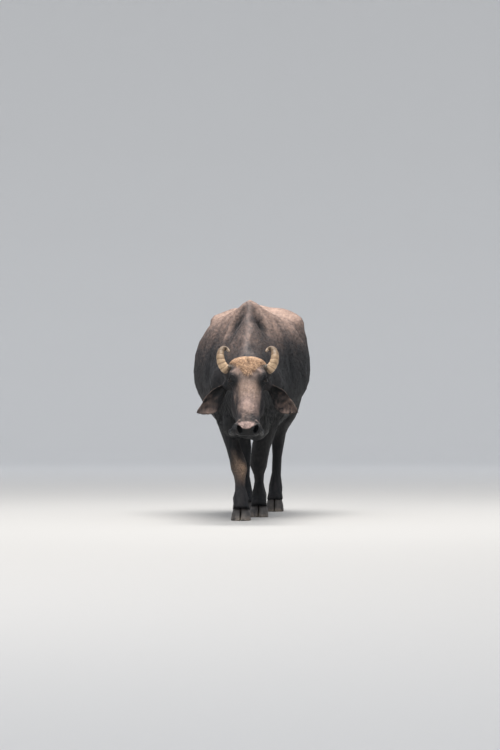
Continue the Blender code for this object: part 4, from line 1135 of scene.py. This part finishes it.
def makeHorn(side, tag):
    horn, angle, t = rolledGrid("horn_" + tag + "_ringed", hornSet["around"], hornSet["along"])
    path = curveThrough([crown + headTurn(side * x, y, z) for x, y, z in hornSet["path"]], 400)
    middle, across, other = readAlong(path, t)
    phase = np.pi * hornSet["rings"] * t ** 0.82
    phase += 0.22 * np.sin(2 * angle + 5 * t) + 0.12 * np.sin(3 * angle - 9 * t)
    ring = np.abs(np.sin(phase)) ** 0.65
    fade = fall(0.60, 0.88, t)
    radius = hornSet["radius"] * (1 - 0.78 * t ** 1.9) + hornSet["ringHeight"] * (ring - 0.62) * fade
    radius += (0.0005 * np.sin(7 * angle + 4 * np.sin(6 * t)) + 0.0003 * np.sin(phase * 5.3)) * fade
    radius *= np.sqrt(np.clip(1 - ((t - 0.97) / 0.03).clip(0, 1) ** 2, 0, 1)) * rise(-0.001, 0.012, t)
    radius *= 1 - hornSet["slimmer"] * rise(0.08, 0.22, t)
    offset = across * (radius * np.cos(angle))[:, None]
    offset += other * (radius * hornSet["flat"] * np.sin(angle))[:, None]
    points = middle + offset
    setPoints(horn, points)
    facing = unit(offset) @ np.array(headTurn(0, -0.8, -0.6))
    # painted shade on the forward and downward face of the hook
    crookShadeAndCollar = window(t, 0.50, 0.84, 0.06) * rise(-0.1, 0.6, facing)
    collar = fall(0.106, 0.120, np.abs(facePlace(points)[0]) + 0.003 * np.sin(9 * angle))
    shareValue(horn, "along", t)
    # the attribute also carries the dark collar where the root meets the head
    shareValue(horn, "crookShadeAndCollar", np.maximum(crookShadeAndCollar, 1.2 * collar * (t < 0.4)))
    shareValue(horn, "ring", ring * fade + (1 - fade))
    closeSeams(horn)
    return finishPiece(horn, hornMaterial, "horn", "horn_" + tag)


def makeHornMaterial():
    material, tree, shader = newMaterial("ringedHorn")
    place = objectPlace(tree)
    cloudy = noise(tree, place, 55.0, 4.0, 0.6)
    grain = noise(tree, place, 420.0, 3.0, 0.6)
    colour = ramp(tree, readShare(tree, "along"), hornSet["tones"])
    # darker in the ring grooves and in cloudy patches
    darkGroovesAndClouds = times(tree, remap(tree, readShare(tree, "ring"), 0.10, 0.80, 1.0, 0.0), 0.62)
    darkGroovesAndClouds = plus(tree, darkGroovesAndClouds, remap(tree, cloudy, 0.48, 0.74, 0.0, 0.45), True)
    streaks = remap(tree, grain, 0.42, 0.78, 0.0, 0.16)
    # painted shade on the hook, and the dark root collar
    crookShadeAndCollar = times(tree, readShare(tree, "crookShadeAndCollar"), 0.80, True)
    for share, tint in ((darkGroovesAndClouds, (0.110, 0.068, 0.040, 1)), (streaks, (0.50, 0.38, 0.25, 1)),
                        (crookShadeAndCollar, (0.040, 0.030, 0.020, 1))):
        colour = blendColour(tree, share, colour, tint)
    plug(tree, shader, {"Base Color": colour, "Roughness": remap(tree, cloudy, 0.3, 0.7, 0.40, 0.56),
                        "Specular IOR Level": 0.30, "Normal": bumpFrom(tree, grain, 0.4, 0.0006)})
    return material


# Claws and dewclaws: the nodes' own forms, rounded, with growth rings
clawSet = {
    "claw": {"voxel": 0.0025, "rounds": 46},
    "dewclaw": {"voxel": 0.0017, "rounds": 12},
    "ringHeight": 0.00035,
    "ringStep": 0.0105,
    "flare": 0.0022,          # wider at the sole
    "narrower": 0.11,         # share the foot is drawn in above the sole
    "tones": ((0.30, (0.020, 0.018, 0.018)), (0.55, (0.042, 0.036, 0.033)), (0.80, (0.090, 0.074, 0.062))),
}
footCentres = {}
for name in nodes:
    if "_claw_" in name:
        foot = name.rsplit("_claw", 1)[0]
        footCentres[foot] = footCentres.get(foot, 0) + np.array(boxCentre(name))[:2] / 2


def makeClaw(name):
    small = "dewclaw" in name
    form = clawSet["dewclaw" if small else "claw"]
    claw = copyOfNode(name, name + "_horny")
    addRemesh(claw, form["voxel"])
    applyModifiers(claw)
    sole = getPoints(claw)[:, 2] < 0.0012
    addSmooth(claw, form["rounds"])
    applyModifiers(claw)
    points, normals = getPoints(claw), getNormals(claw)
    middle = points.mean(axis=0)
    height = points[:, 2]
    slope = height + 0.22 * (points[:, 1] - middle[1]) + 0.002 * ripple(points, 0.09, 3)
    wave = np.sin(2 * np.pi * slope / clawSet["ringStep"])
    flat = 1 - np.abs(normals[:, 2])
    push = clawSet["ringHeight"] * wave * flat
    if not small:
        push += clawSet["flare"] * fall(0.004, 0.030, height) * flat + 0.0010
    points = points + normals * push[:, None]
    if not small:
        points[:, 2] = np.where(sole, 0.0, np.maximum(points[:, 2], 0.0))
        foot = footCentres[name.rsplit("_claw", 1)[0]]
        narrower = 1 - clawSet["narrower"] * rise(0.030, 0.080, points[:, 2])
        points[:, :2] = foot + (points[:, :2] - foot) * narrower[:, None]
    setPoints(claw, points)
    claw.data.shade_smooth()
    return finishPiece(claw, clawMaterial, "hoof", name)


def makeClawMaterial():
    material, tree, shader = newMaterial("clawHorn")
    place = objectPlace(tree)
    rings = noise(tree, stretched(tree, place, (10, 10, 130)), 1.0, 2.0)
    fibre = noise(tree, stretched(tree, place, (300, 300, 22)), 1.0, 3.0)
    cloudy = noise(tree, place, 32.0, 3.0)
    height = put(tree, "ShaderNodeSeparateXYZ", {0: place}).outputs[2]
    dust = times(tree, remap(tree, height, 0.0, 0.035, 1.0, 0.0), remap(tree, cloudy, 0.3, 0.6))
    colour = ramp(tree, cloudy, clawSet["tones"])
    for share, tint in ((remap(tree, fibre, 0.50, 0.74, 0.0, 0.4), (0.120, 0.098, 0.080, 1)),
                        (remap(tree, rings, 0.54, 0.70, 0.0, 0.5), (0.014, 0.012, 0.012, 1)),
                        (times(tree, dust, 0.6), (0.230, 0.185, 0.145, 1))):
        colour = blendColour(tree, share, colour, tint)
    plug(tree, shader, {"Base Color": colour, "Roughness": remap(tree, fibre, 0.3, 0.7, 0.45, 0.66),
                        "Normal": bumpFrom(tree, fibre, 0.25, 0.0006)})
    return material


hornMaterial = makeHornMaterial()
clawMaterial = makeClawMaterial()
for side, tag in ((1, "left"), (-1, "right")):
    makeHorn(side, tag)
for name in sorted(nodes):
    if "claw" in name:
        makeClaw(name)
print("horns and claws made")

# Coat: solid tapered tufts, built from arrays, that follow the lie of the hair
coatSet = {
    "seed": 4,
    "bodyPieces": 3,          # with as many tufts in each
    "legTop": 0.58,
    "body": {"tufts": 17333, "length": (0.015, 0.026), "width": (0.0011, 0.0019), "lift": 0.0005},
    "legs": {"tufts": 19000, "length": (0.009, 0.015), "width": (0.0010, 0.0015), "lift": 0.0005},
    "face": {"tufts": 19000, "length": (0.005, 0.009), "width": (0.0006, 0.0010), "lift": 0.0003},
    "rootDepth": 0.0007,
    "patch": 0.003,           # how much of the unwrapped picture one tuft covers
}


def triangleData(obj):
    obj.data.calc_loop_triangles()
    flat = np.empty(len(obj.data.loop_triangles) * 3, np.int32)
    obj.data.loop_triangles.foreach_get("vertices", flat)
    return flat.reshape(-1, 3)


skinTriangles = triangleData(skin)
corners = skinPoints[skinTriangles]
edges = corners[:, 1:] - corners[:, :1]
skinAreas = np.linalg.norm(np.cross(edges[:, 0], edges[:, 1]), axis=1) / 2
skinCentres = corners.mean(axis=1)
centreNormals = unit(skinNormals[skinTriangles].mean(axis=1))
skinTree = BVHTree.FromObject(skin, bpy.context.evaluated_depsgraph_get())


def onSkin(points):
    found = [skinTree.find_nearest(point) for point in points.reshape(-1, 3)]
    return tuple(np.array([hit[k] for hit in found]).reshape(points.shape) for k in (0, 1))


def scatter(rng, count, density):
    weights = skinAreas * density
    chosen = rng.choice(len(weights), count, p=weights / weights.sum())
    a, b = np.sqrt(rng.random(count)), rng.random(count)
    shares = np.stack([1 - a, a * (1 - b), a * b], axis=1)[:, :, None]
    rows = skinTriangles[chosen]
    return (skinPoints[rows] * shares).sum(axis=1), unit((skinNormals[rows] * shares).sum(axis=1))


def unwrapPlace(points):
    # each part of the body rolled out in a cell of its own
    x, y, z = bodyPlace(points)
    hx, u, v = facePlace(points)
    cell = np.zeros((len(points), 2))
    trunkTurn = np.arctan2(x, z - 0.92) / (2 * np.pi) + 0.5
    cell[:, 0] = 0.02 + 0.56 * np.clip((y + 0.85) / 1.95, 0, 1)
    cell[:, 1] = 0.02 + 0.96 * trunkTurn
    legs = z < 0.62
    for number, (sideSign, front) in enumerate(((1, True), (1, False), (-1, True), (-1, False))):
        inside = legs & (x * sideSign > 0) & ((y < 0.35) == front)
        middleX, middleY = (row[inside].mean() if inside.any() else 0 for row in (x, y))
        turn = np.arctan2(x[inside] - middleX, y[inside] - middleY) / (2 * np.pi) + 0.5
        cell[inside, 0] = 0.60 + 0.095 * number + 0.09 * turn
        cell[inside, 1] = 0.02 + 0.30 * np.clip(z[inside] / 0.62, 0, 1)
    tail = (np.abs(x) < 0.06) & (y > 1.035) & (z < 1.22)
    cell[tail, 0] = 0.60 + 0.05 * (np.arctan2(x[tail], y[tail] - 1.08) / (2 * np.pi) + 0.5)
    cell[tail, 1] = 0.35 + 0.20 * np.clip(z[tail] / 1.22, 0, 1)
    onHead = behindHead(points) < 0
    cell[onHead, 0] = 0.60 + 0.38 * (np.arctan2(hx[onHead], v[onHead] + 0.07) / (2 * np.pi) + 0.5)
    cell[onHead, 1] = 0.62 + 0.36 * np.clip((u[onHead] + 0.08) / 0.62, 0, 1)
    ears = earAmount(points) > 0.5
    for number, sideSign in enumerate((1, -1)):
        root, reach, front = earAxis(sideSign)
        inside = ears & (hx * sideSign > 0)
        across = np.cross(reach, front)
        away = points[inside] - root
        facing = (away @ front > 0.0) * 0.08
        cell[inside, 0] = 0.67 + 0.16 * number + facing + 0.035 + away @ across * 0.3
        cell[inside, 1] = 0.35 + 0.22 * np.clip(away @ reach / 0.24, 0, 1)
    return np.clip(cell, 0.004, 0.996)


def buildStrands(name, material, slot, paths, sides, widths, marks, locks, *replaced, thickness=0.45,
                 smooth=True):
    # paths: strand, step, xyz; every strand is a closed prism of three sides that ends in a point
    count, steps, _ = paths.shape
    ahead = unit(np.gradient(paths, axis=1))
    sides = unit(sides[:, None, :] - ahead * (sides[:, None, :] * ahead).sum(axis=2, keepdims=True))
    ups = np.cross(ahead, sides)
    half = widths[:, :-1, None] / 2
    body, aside, up = paths[:, :-1], sides[:, :-1] * half, ups[:, :-1] * half * 2 * thickness
    rings = np.stack([body + aside, body + up, body - aside], axis=2).reshape(count, -1, 3)
    points = np.concatenate([rings, paths[:, -1:]], axis=1)
    perStrand = points.shape[1]
    faces = [(2, 1, 0)]
    for step in range(steps - 2):
        for k in range(3):
            a, b = 3 * step + k, 3 * step + (k + 1) % 3
            faces.append((a, b, b + 3, a + 3))
    last = 3 * (steps - 2)
    faces += [(last + k, last + (k + 1) % 3, perStrand - 1) for k in range(3)]
    loops = np.array([index for face in faces for index in face])
    starts = np.cumsum([0] + [len(face) for face in faces[:-1]])
    offsets = np.arange(count)[:, None]
    mesh = bpy.data.meshes.new(name)
    mesh.vertices.add(count * perStrand)
    mesh.vertices.foreach_set("co", points.astype(np.float32).ravel())
    mesh.loops.add(count * len(loops))
    mesh.loops.foreach_set("vertex_index", (loops + offsets * perStrand).astype(np.int32).ravel())
    mesh.polygons.add(count * len(faces))
    mesh.polygons.foreach_set("loop_start", (starts + offsets * len(loops)).astype(np.int32).ravel())
    mesh.update(calc_edges=True)
    obj = addObject(name, mesh)
    if smooth:
        mesh.shade_smooth()
    along = np.concatenate([np.repeat(np.arange(steps - 1) / (steps - 1), 3), [1.0]])
    shareValue(obj, "along", np.tile(along, count))
    shareValue(obj, "lock", np.repeat(locks, perStrand))
    shareValue(obj, "upright", np.repeat(uprightness(paths[:, 0]), perStrand))
    shareMarks(obj, np.repeat(marks, perStrand, axis=0))
    corner = np.array([0.0, 0.5, 1.0])[loops % 3] - 0.5
    spread = np.stack([corner, along[loops] - 0.5], axis=1) * coatSet["patch"]
    places = unwrapPlace(paths[:, 0])[:, None, :] + spread
    mesh.uv_layers.new(name="OFBake").data.foreach_set("uv", places.astype(np.float32).ravel())
    return finishPiece(obj, material, slot, *replaced)


def lieOfCoat(points, normals, rng, tousle=0.16):
    _, y, z = bodyPlace(points)
    hx, u, _ = facePlace(points)
    count = len(points)
    sideways = np.abs(normals[:, 0])
    trunk = np.stack([np.zeros(count), np.full(count, 0.88), -0.25 - 0.45 * sideways], axis=1)
    trunk = mix(trunk, np.array([0, 0.62, -0.70]), fall(-0.40, -0.10, y)[:, None])
    down = np.tile([0, 0.18, -1.0], (count, 1))
    way = mix(trunk, down, fall(0.58, 0.72, z)[:, None])
    way = mix(way, down, rise(0.90, 1.02, y)[:, None])
    faceDown, faceOut = np.array(downAxis), np.array(outAxis)
    turned = rise(0.010, 0.045, u)[:, None] * 2 - 1
    outward = np.sign(hx)[:, None] * np.array(sideAxis)
    face = faceDown * turned + (0.25 + 1.2 * fall(0.03, 0.06, u))[:, None] * outward
    face = mix(face, 0.55 * faceDown - 0.75 * faceOut, rise(0.050, 0.085, np.abs(hx))[:, None])
    way = mix(way, face, fall(-0.03, 0.03, behindHead(points))[:, None])
    reach = np.where(hx[:, None] > 0, earAxis(1)[1], earAxis(-1)[1])
    way = mix(way, reach, earAmount(points)[:, None])
    way = unit(way - normals * (way * normals).sum(axis=1, keepdims=True))
    angle = tousle * rng.normal(size=count) + 0.22 * ripple(points, 0.16, 21)
    return unit(way * np.cos(angle)[:, None] + np.cross(normals, way) * np.sin(angle)[:, None])


def bareAmount(points):
    _, u, v = facePlace(points)
    away, along = mouthAway(points)
    bare = (u > 0.425) & (v > -0.085)
    bare |= (nostrilReach(points) < 1.7) | ((np.abs(away) < 0.010) & (along > 0.2))
    return bare & (behindHead(points) < 0.01) | (eyeAway(points) < 0.030)


def layTufts(name, rng, density, kind):
    count = kind["tufts"]
    roots, normals = scatter(rng, count, density)
    way = lieOfCoat(roots, normals, rng)
    length = rng.uniform(*kind["length"], count)[:, None]
    lift = kind["lift"] * rng.uniform(0.5, 1.25, count)[:, None]
    reaches = np.stack([roots + way * length * 0.5, roots + way * length], axis=1)
    places, over = onSkin(reaches)
    places += over * lift[:, None] * np.array([1.0, 0.5])[None, :, None]
    paths = np.concatenate([(roots - normals * coatSet["rootDepth"])[:, None], places], axis=1)
    width = rng.uniform(*kind["width"], count)[:, None] * np.array([1.0, 0.8, 0.0])
    buildStrands(name, coatMaterial, "hide", paths, np.cross(normals, way), width, markings(roots, normals),
                 rng.random(count), thickness=0.20, smooth=False)


def makeCoat():
    rng = np.random.default_rng(coatSet["seed"])
    z = bodyPlace(skinCentres)[2]
    onHead = behindHead(skinCentres) < 0.0
    hairy = ~bareAmount(skinCentres) & (earAmount(skinCentres) < 0.3)
    back = 1 + 0.5 * rise(0.9, 1.2, z)
    low = z < coatSet["legTop"]
    for number in range(coatSet["bodyPieces"]):
        layTufts("coat_body_%d" % number, rng, (~onHead & ~low & hairy) * back, coatSet["body"])
    layTufts("coat_legs", rng, ~onHead & low & hairy, coatSet["legs"])
    layTufts("coat_face", rng, onHead & hairy, coatSet["face"])


makeCoat()
print("short coat laid")

# Curls on the poll, over a V on the forehead
curlSet = {
    "seed": 8,
    "count": 3200,
    "length": (0.018, 0.036),
    "width": (0.0011, 0.0018),
    "steps": 11,
    "wave": 0.0032,
    "turns": 1.15,
    "rootDepth": 0.0015,
    "lift": 0.0048,
}


def curledPaths(rng, roots, normals, way, length):
    count, wave, depth = len(roots), curlSet["wave"], curlSet["rootDepth"]
    t = np.linspace(0, 1, curlSet["steps"])
    across = np.cross(normals, way)
    phase = rng.uniform(0, 2 * np.pi, count)[:, None]
    spin = rng.choice((-1.0, 1.0), count)[:, None] * rng.uniform(0.7, 1.3, count)[:, None]
    turned = phase + spin * curlSet["turns"] * 2 * np.pi * t
    swing, raised = np.sin(turned) - np.sin(phase), np.cos(turned) - np.cos(phase)
    flat = roots[:, None] + way[:, None] * (length * t)[:, :, None]
    flat = flat + across[:, None] * (wave * swing)[:, :, None]
    places, over = onSkin(flat)
    height = -depth + (curlSet["lift"] + depth) * rise(0.0, 0.25, t) + wave * 0.45 * raised * t
    return places + unit(over) * np.maximum(height, -depth)[:, :, None]


def makeCurls():
    rng = np.random.default_rng(curlSet["seed"])
    gold = markings(skinCentres, centreNormals)[:, 2]
    density = np.clip(gold - 0.22, 0, 1) * (behindHead(skinCentres) < 0.01)
    roots, normals = scatter(rng, curlSet["count"], density)
    way = lieOfCoat(roots, normals, rng, 0.65)
    length = rng.uniform(*curlSet["length"], len(roots))[:, None]
    paths = curledPaths(rng, roots, normals, way, length)
    taper = np.sqrt(np.clip(1 - np.linspace(0, 1, curlSet["steps"]) ** 2.5, 0, 1))
    widths = rng.uniform(*curlSet["width"], len(roots))[:, None] * taper
    rootMarks = markings(roots, normals)
    rootMarks[:, 2] = 1.0
    buildStrands("coat_poll_curls", curlMaterial, "hide", paths, np.cross(normals, way), widths, rootMarks,
                 rng.random(len(roots)), thickness=0.5)


makeCurls()
print("poll curled")

# Switch of the tail
switchSet = {
    "seed": 15,
    "strands": 2600,
    "steps": 8,
    "length": (0.11, 0.20),
    "width": (0.0016, 0.0028),
    "core": 46,               # thick strands in the middle
    "coreWidth": 0.014,
    "path": ((-0.004, 1.108, 0.575), (-0.009, 1.101, 0.480), (-0.012, 1.098, 0.410), (-0.012, 1.098, 0.350)),
}


def makeSwitch():
    rng = np.random.default_rng(switchSet["seed"])
    core = curveThrough(switchSet["path"], 60) + np.array(withers)
    steps = switchSet["steps"]
    t = np.linspace(0, 1, steps)
    count = switchSet["strands"] + switchSet["core"]
    heavy = np.arange(count) < switchSet["core"]
    start = rng.random(count) ** 1.2 * 0.85
    angle = rng.uniform(0, 2 * np.pi, count)
    out = np.stack([np.cos(angle), np.sin(angle), np.zeros(count)], axis=1)
    across = np.cross(out, [0, 0, 1])
    length = rng.uniform(*switchSet["length"], count)
    length = np.minimum(length, 0.345 - 0.225 * start + 0.02 * rng.random(count))
    depth = np.where(heavy, 0.4, rng.random(count) ** 0.5)
    bulge = (0.008 + 0.026 * np.sin(np.pi * np.clip(t * 0.85 + 0.1, 0, 1)))[None, :] * depth[:, None]
    roots = core[(start * 59).astype(int)]
    paths = roots[:, None, :] + out[:, None, :] * bulge[:, :, None]
    paths[:, :, 2] -= length[:, None] * t
    wave = 0.004 * np.sin(2 * np.pi * (1.3 * t + rng.random(count)[:, None])) * t
    paths += across[:, None, :] * wave[:, :, None]
    taper = np.sqrt(np.clip(1 - t ** 2.2, 0, 1)) * (0.6 + 0.4 * rise(0, 0.3, t))
    width = np.where(heavy, switchSet["coreWidth"], rng.uniform(*switchSet["width"], count))
    width = width[:, None] * taper
    marks = np.tile([0.13, 0.0, 0.0, 0.25], (count, 1))
    buildStrands("tail_switch_hair", coatMaterial, "tail_hair", paths, across, width, marks,
                 rng.random(count), "tail_switch", thickness=0.5)


makeSwitch()
print("switch hung")

# Ear hair, lashes and whiskers
trimSet = {
    "earSeed": 23,
    "lashSeed": 31,
    "longSeed": 37,
    "lashes": 46,         # on each eye
    "rootDepth": 0.0006,
    "taper": (1.0, 0.85, 0.55, 0.0),
}
hairKinds = {             # strands, length, width, and how much they stand out and lie along
    "coat_ear_short": (7000, (0.005, 0.009), (0.0007, 0.0011), (0.10, 1.0)),
    "coat_ear_inner": (260, (0.010, 0.020), (0.0006, 0.0009), (0.25, 1.0)),
    "coat_ear_rim": (1300, (0.005, 0.009), (0.0007, 0.0010), (0.30, 1.0)),
    "coat_whiskers": (70, (0.010, 0.020), (0.0007, 0.0010), (0.8, 0.5)),
    "coat_coronet": (3600, (0.009, 0.017), (0.0011, 0.0016), (0.16, 1.0)),
    "coat_chest": (2200, (0.014, 0.028), (0.0009, 0.0014), (0.16, 1.0)),
}


def layHair(name, rng, density, tousle, sag):
    count, lengths, widths, (outward, along) = hairKinds[name]
    roots, normals = scatter(rng, count, density)
    way = unit(lieOfCoat(roots, normals, rng, tousle) * along + normals * outward)
    length = rng.uniform(*lengths, count)[:, None, None]
    t = np.linspace(0, 1, len(trimSet["taper"]))[:, None]
    droop = np.array([0, 0, -sag]) * t ** 2
    paths = roots[:, None] - normals[:, None] * trimSet["rootDepth"] + (way[:, None] * t + droop) * length
    width = rng.uniform(*widths, count)[:, None] * np.array(trimSet["taper"])
    marks = markings(roots, normals)
    if "inner" in name:
        marks[:, 0], marks[:, 3] = 0.45, 0.30
    buildStrands(name, coatMaterial, "hide", paths, np.cross(normals, way), width, marks, rng.random(count))


def makeEarHair():
    rng = np.random.default_rng(trimSet["earSeed"])
    amount = earAmount(skinCentres)
    front = np.where(facePlace(skinCentres)[0][:, None] > 0, earAxis(1)[2], earAxis(-1)[2])
    facing = (centreNormals * front).sum(axis=1)
    layHair("coat_ear_short", rng, amount > 0.25, 0.25, 0.25)
    layHair("coat_ear_inner", rng, (amount > 0.4) * rise(0.2, 0.6, facing), 0.25, 0.25)
    layHair("coat_ear_rim", rng, (amount > 0.4) * hump(facing, 0.35), 0.25, 0.25)


def makeLashes():
    rng = np.random.default_rng(trimSet["lashSeed"])
    radius = headSet["eyeRadius"]
    t = np.linspace(0, 1, 5)[:, None]
    paths, sides = [], []
    for sideSign in (1, -1):
        out, alongLid, up = (np.array(axis) for axis in eyeAxes(sideSign))
        for angle in np.linspace(0.30, math.pi - 0.30, trimSet["lashes"]):
            angle += rng.uniform(-0.03, 0.03)
            edge = openingEdge(np.array([angle]))[0] + 0.07
            around = math.cos(angle) * alongLid + math.sin(angle) * up
            direction = math.cos(edge) * out + math.sin(edge) * around
            root = np.array(eyeCentres[sideSign]) + direction * (radius + 0.0018)
            reach = (out * 0.9 + around * 0.35 - up * 0.15) * rng.uniform(0.010, 0.015)
            paths.append(root + reach * t + up * 0.0045 * t ** 2 - up * 0.0025 * t)
            sides.append(np.cross(up, out))
    paths, sides = np.array(paths), np.array(sides)
    width = np.full((len(paths), 1), 0.0009) * np.array([1.0, 0.9, 0.7, 0.45, 0.0])
    marks = np.tile([0.0, 0.0, 0.0, 0.9], (len(paths), 1))
    buildStrands("lashes", coatMaterial, "hide", paths, sides, width, marks, rng.random(len(paths)))


def makeLongHair():
    rng = np.random.default_rng(trimSet["longSeed"])
    _, y, z = bodyPlace(skinCentres)
    _, u, v = facePlace(skinCentres)
    onHead = behindHead(skinCentres) < 0
    down = centreNormals[:, 2] < -0.1
    layHair("coat_whiskers", rng, onHead & (u > 0.36) & (v < -0.10), 0.2, 0.35)
    layHair("coat_coronet", rng, ~onHead & (z < 0.105), 0.2, 0.35)
    layHair("coat_chest", rng, ~onHead & down & (z > 0.55) & (z < 0.85) & (y < -0.05), 0.2, 0.35)


makeEarHair()
makeLashes()
makeLongHair()
print("ear hair, lashes and long hair set")

# Studio: pale floor, soft light from above, and the camera at the photograph's angle
studioSet = {
    "profile": ((0, 0), (4, 0), (9, 0), (15, 0), (19, 0), (20.5, 0.15), (22, 0.6), (23.3, 1.3), (24.3, 2.3),
                (25, 3.5), (25.4, 5), (25.6, 7), (25.6, 13)),
    "floorColour": (0.40, 0.39, 0.375, 1),
    "wallColour": (0.76, 0.75, 0.73, 1),
    "cameraAway": 15.0,
    "cameraYaw": math.radians(4.2),
    "cameraHeight": 0.6,
    "cameraRise": math.radians(1.007),
    "lens": 118.8,
    "lights": (           # name, place, target, size, power, colour
        ("topLight", (0.4, -0.6, 8.0), (0, 0, 0.9), 6.0, 1050, (1.0, 0.98, 0.95)),
        ("frontLight", (-3.0, -8.0, 5.0), (0, -0.6, 0.8), 4.0, 230, (1.0, 0.97, 0.94)),
    ),
    "sky": (0.86, 0.91, 1.0, 1),
    "skyStrength": 0.8,
}


def makeFloor():
    # flat round the animal, then curving up far away, so that no edge shows from any side
    floor, angle, place = rolledGrid("floor", 96, len(studioSet["profile"]) - 1)
    row = np.round(place * (len(studioSet["profile"]) - 1)).astype(int)
    reach, height = np.array(studioSet["profile"], float)[row].T
    setPoints(floor, np.stack([reach * np.cos(angle), reach * np.sin(angle), height], axis=1))
    closeSeams(floor)
    material, tree, shader = newMaterial("paleFloor")
    reach = put(tree, "ShaderNodeVectorMath", {0: objectPlace(tree)}, operation="LENGTH").outputs["Value"]
    far = remap(tree, reach, 3.0, 16.0)
    colour = blendColour(tree, far, studioSet["floorColour"], studioSet["wallColour"])
    plug(tree, shader, {"Base Color": colour, "Roughness": 0.9})
    floor.data.materials.append(material)


def addLight(name, place, target, size, power, colour):
    light = bpy.data.lights.new(name, "AREA")
    light.shape = "DISK"
    light.size = size
    light.energy = power
    light.color = colour
    obj = addObject(name, light)
    obj.location = place
    obj.rotation_euler = (Vector(target) - Vector(place)).to_track_quat("-Z", "Y").to_euler()


def makeStudio():
    makeFloor()
    for light in studioSet["lights"]:
        addLight(*light)
    world = bpy.data.worlds.new("studioSky")
    world.use_nodes = True
    background = world.node_tree.nodes["Background"]
    background.inputs[0].default_value = studioSet["sky"]
    background.inputs[1].default_value = studioSet["skyStrength"]
    bpy.context.scene.world = world
    bpy.context.scene.view_settings.view_transform = "Standard"
    camera = bpy.data.cameras.new("camera")
    camera.lens = studioSet["lens"]
    camera.clip_end = 200
    obj = addObject("camera", camera)
    yaw, away = studioSet["cameraYaw"], studioSet["cameraAway"]
    offset = Vector((math.sin(yaw) * away, -math.cos(yaw) * away, studioSet["cameraHeight"]))
    obj.location = Vector((withers.x, withers.y, 0)) + offset
    obj.rotation_euler = (math.pi / 2 + studioSet["cameraRise"], 0, yaw)
    bpy.context.scene.camera = obj


makeStudio()
print("studio lit")
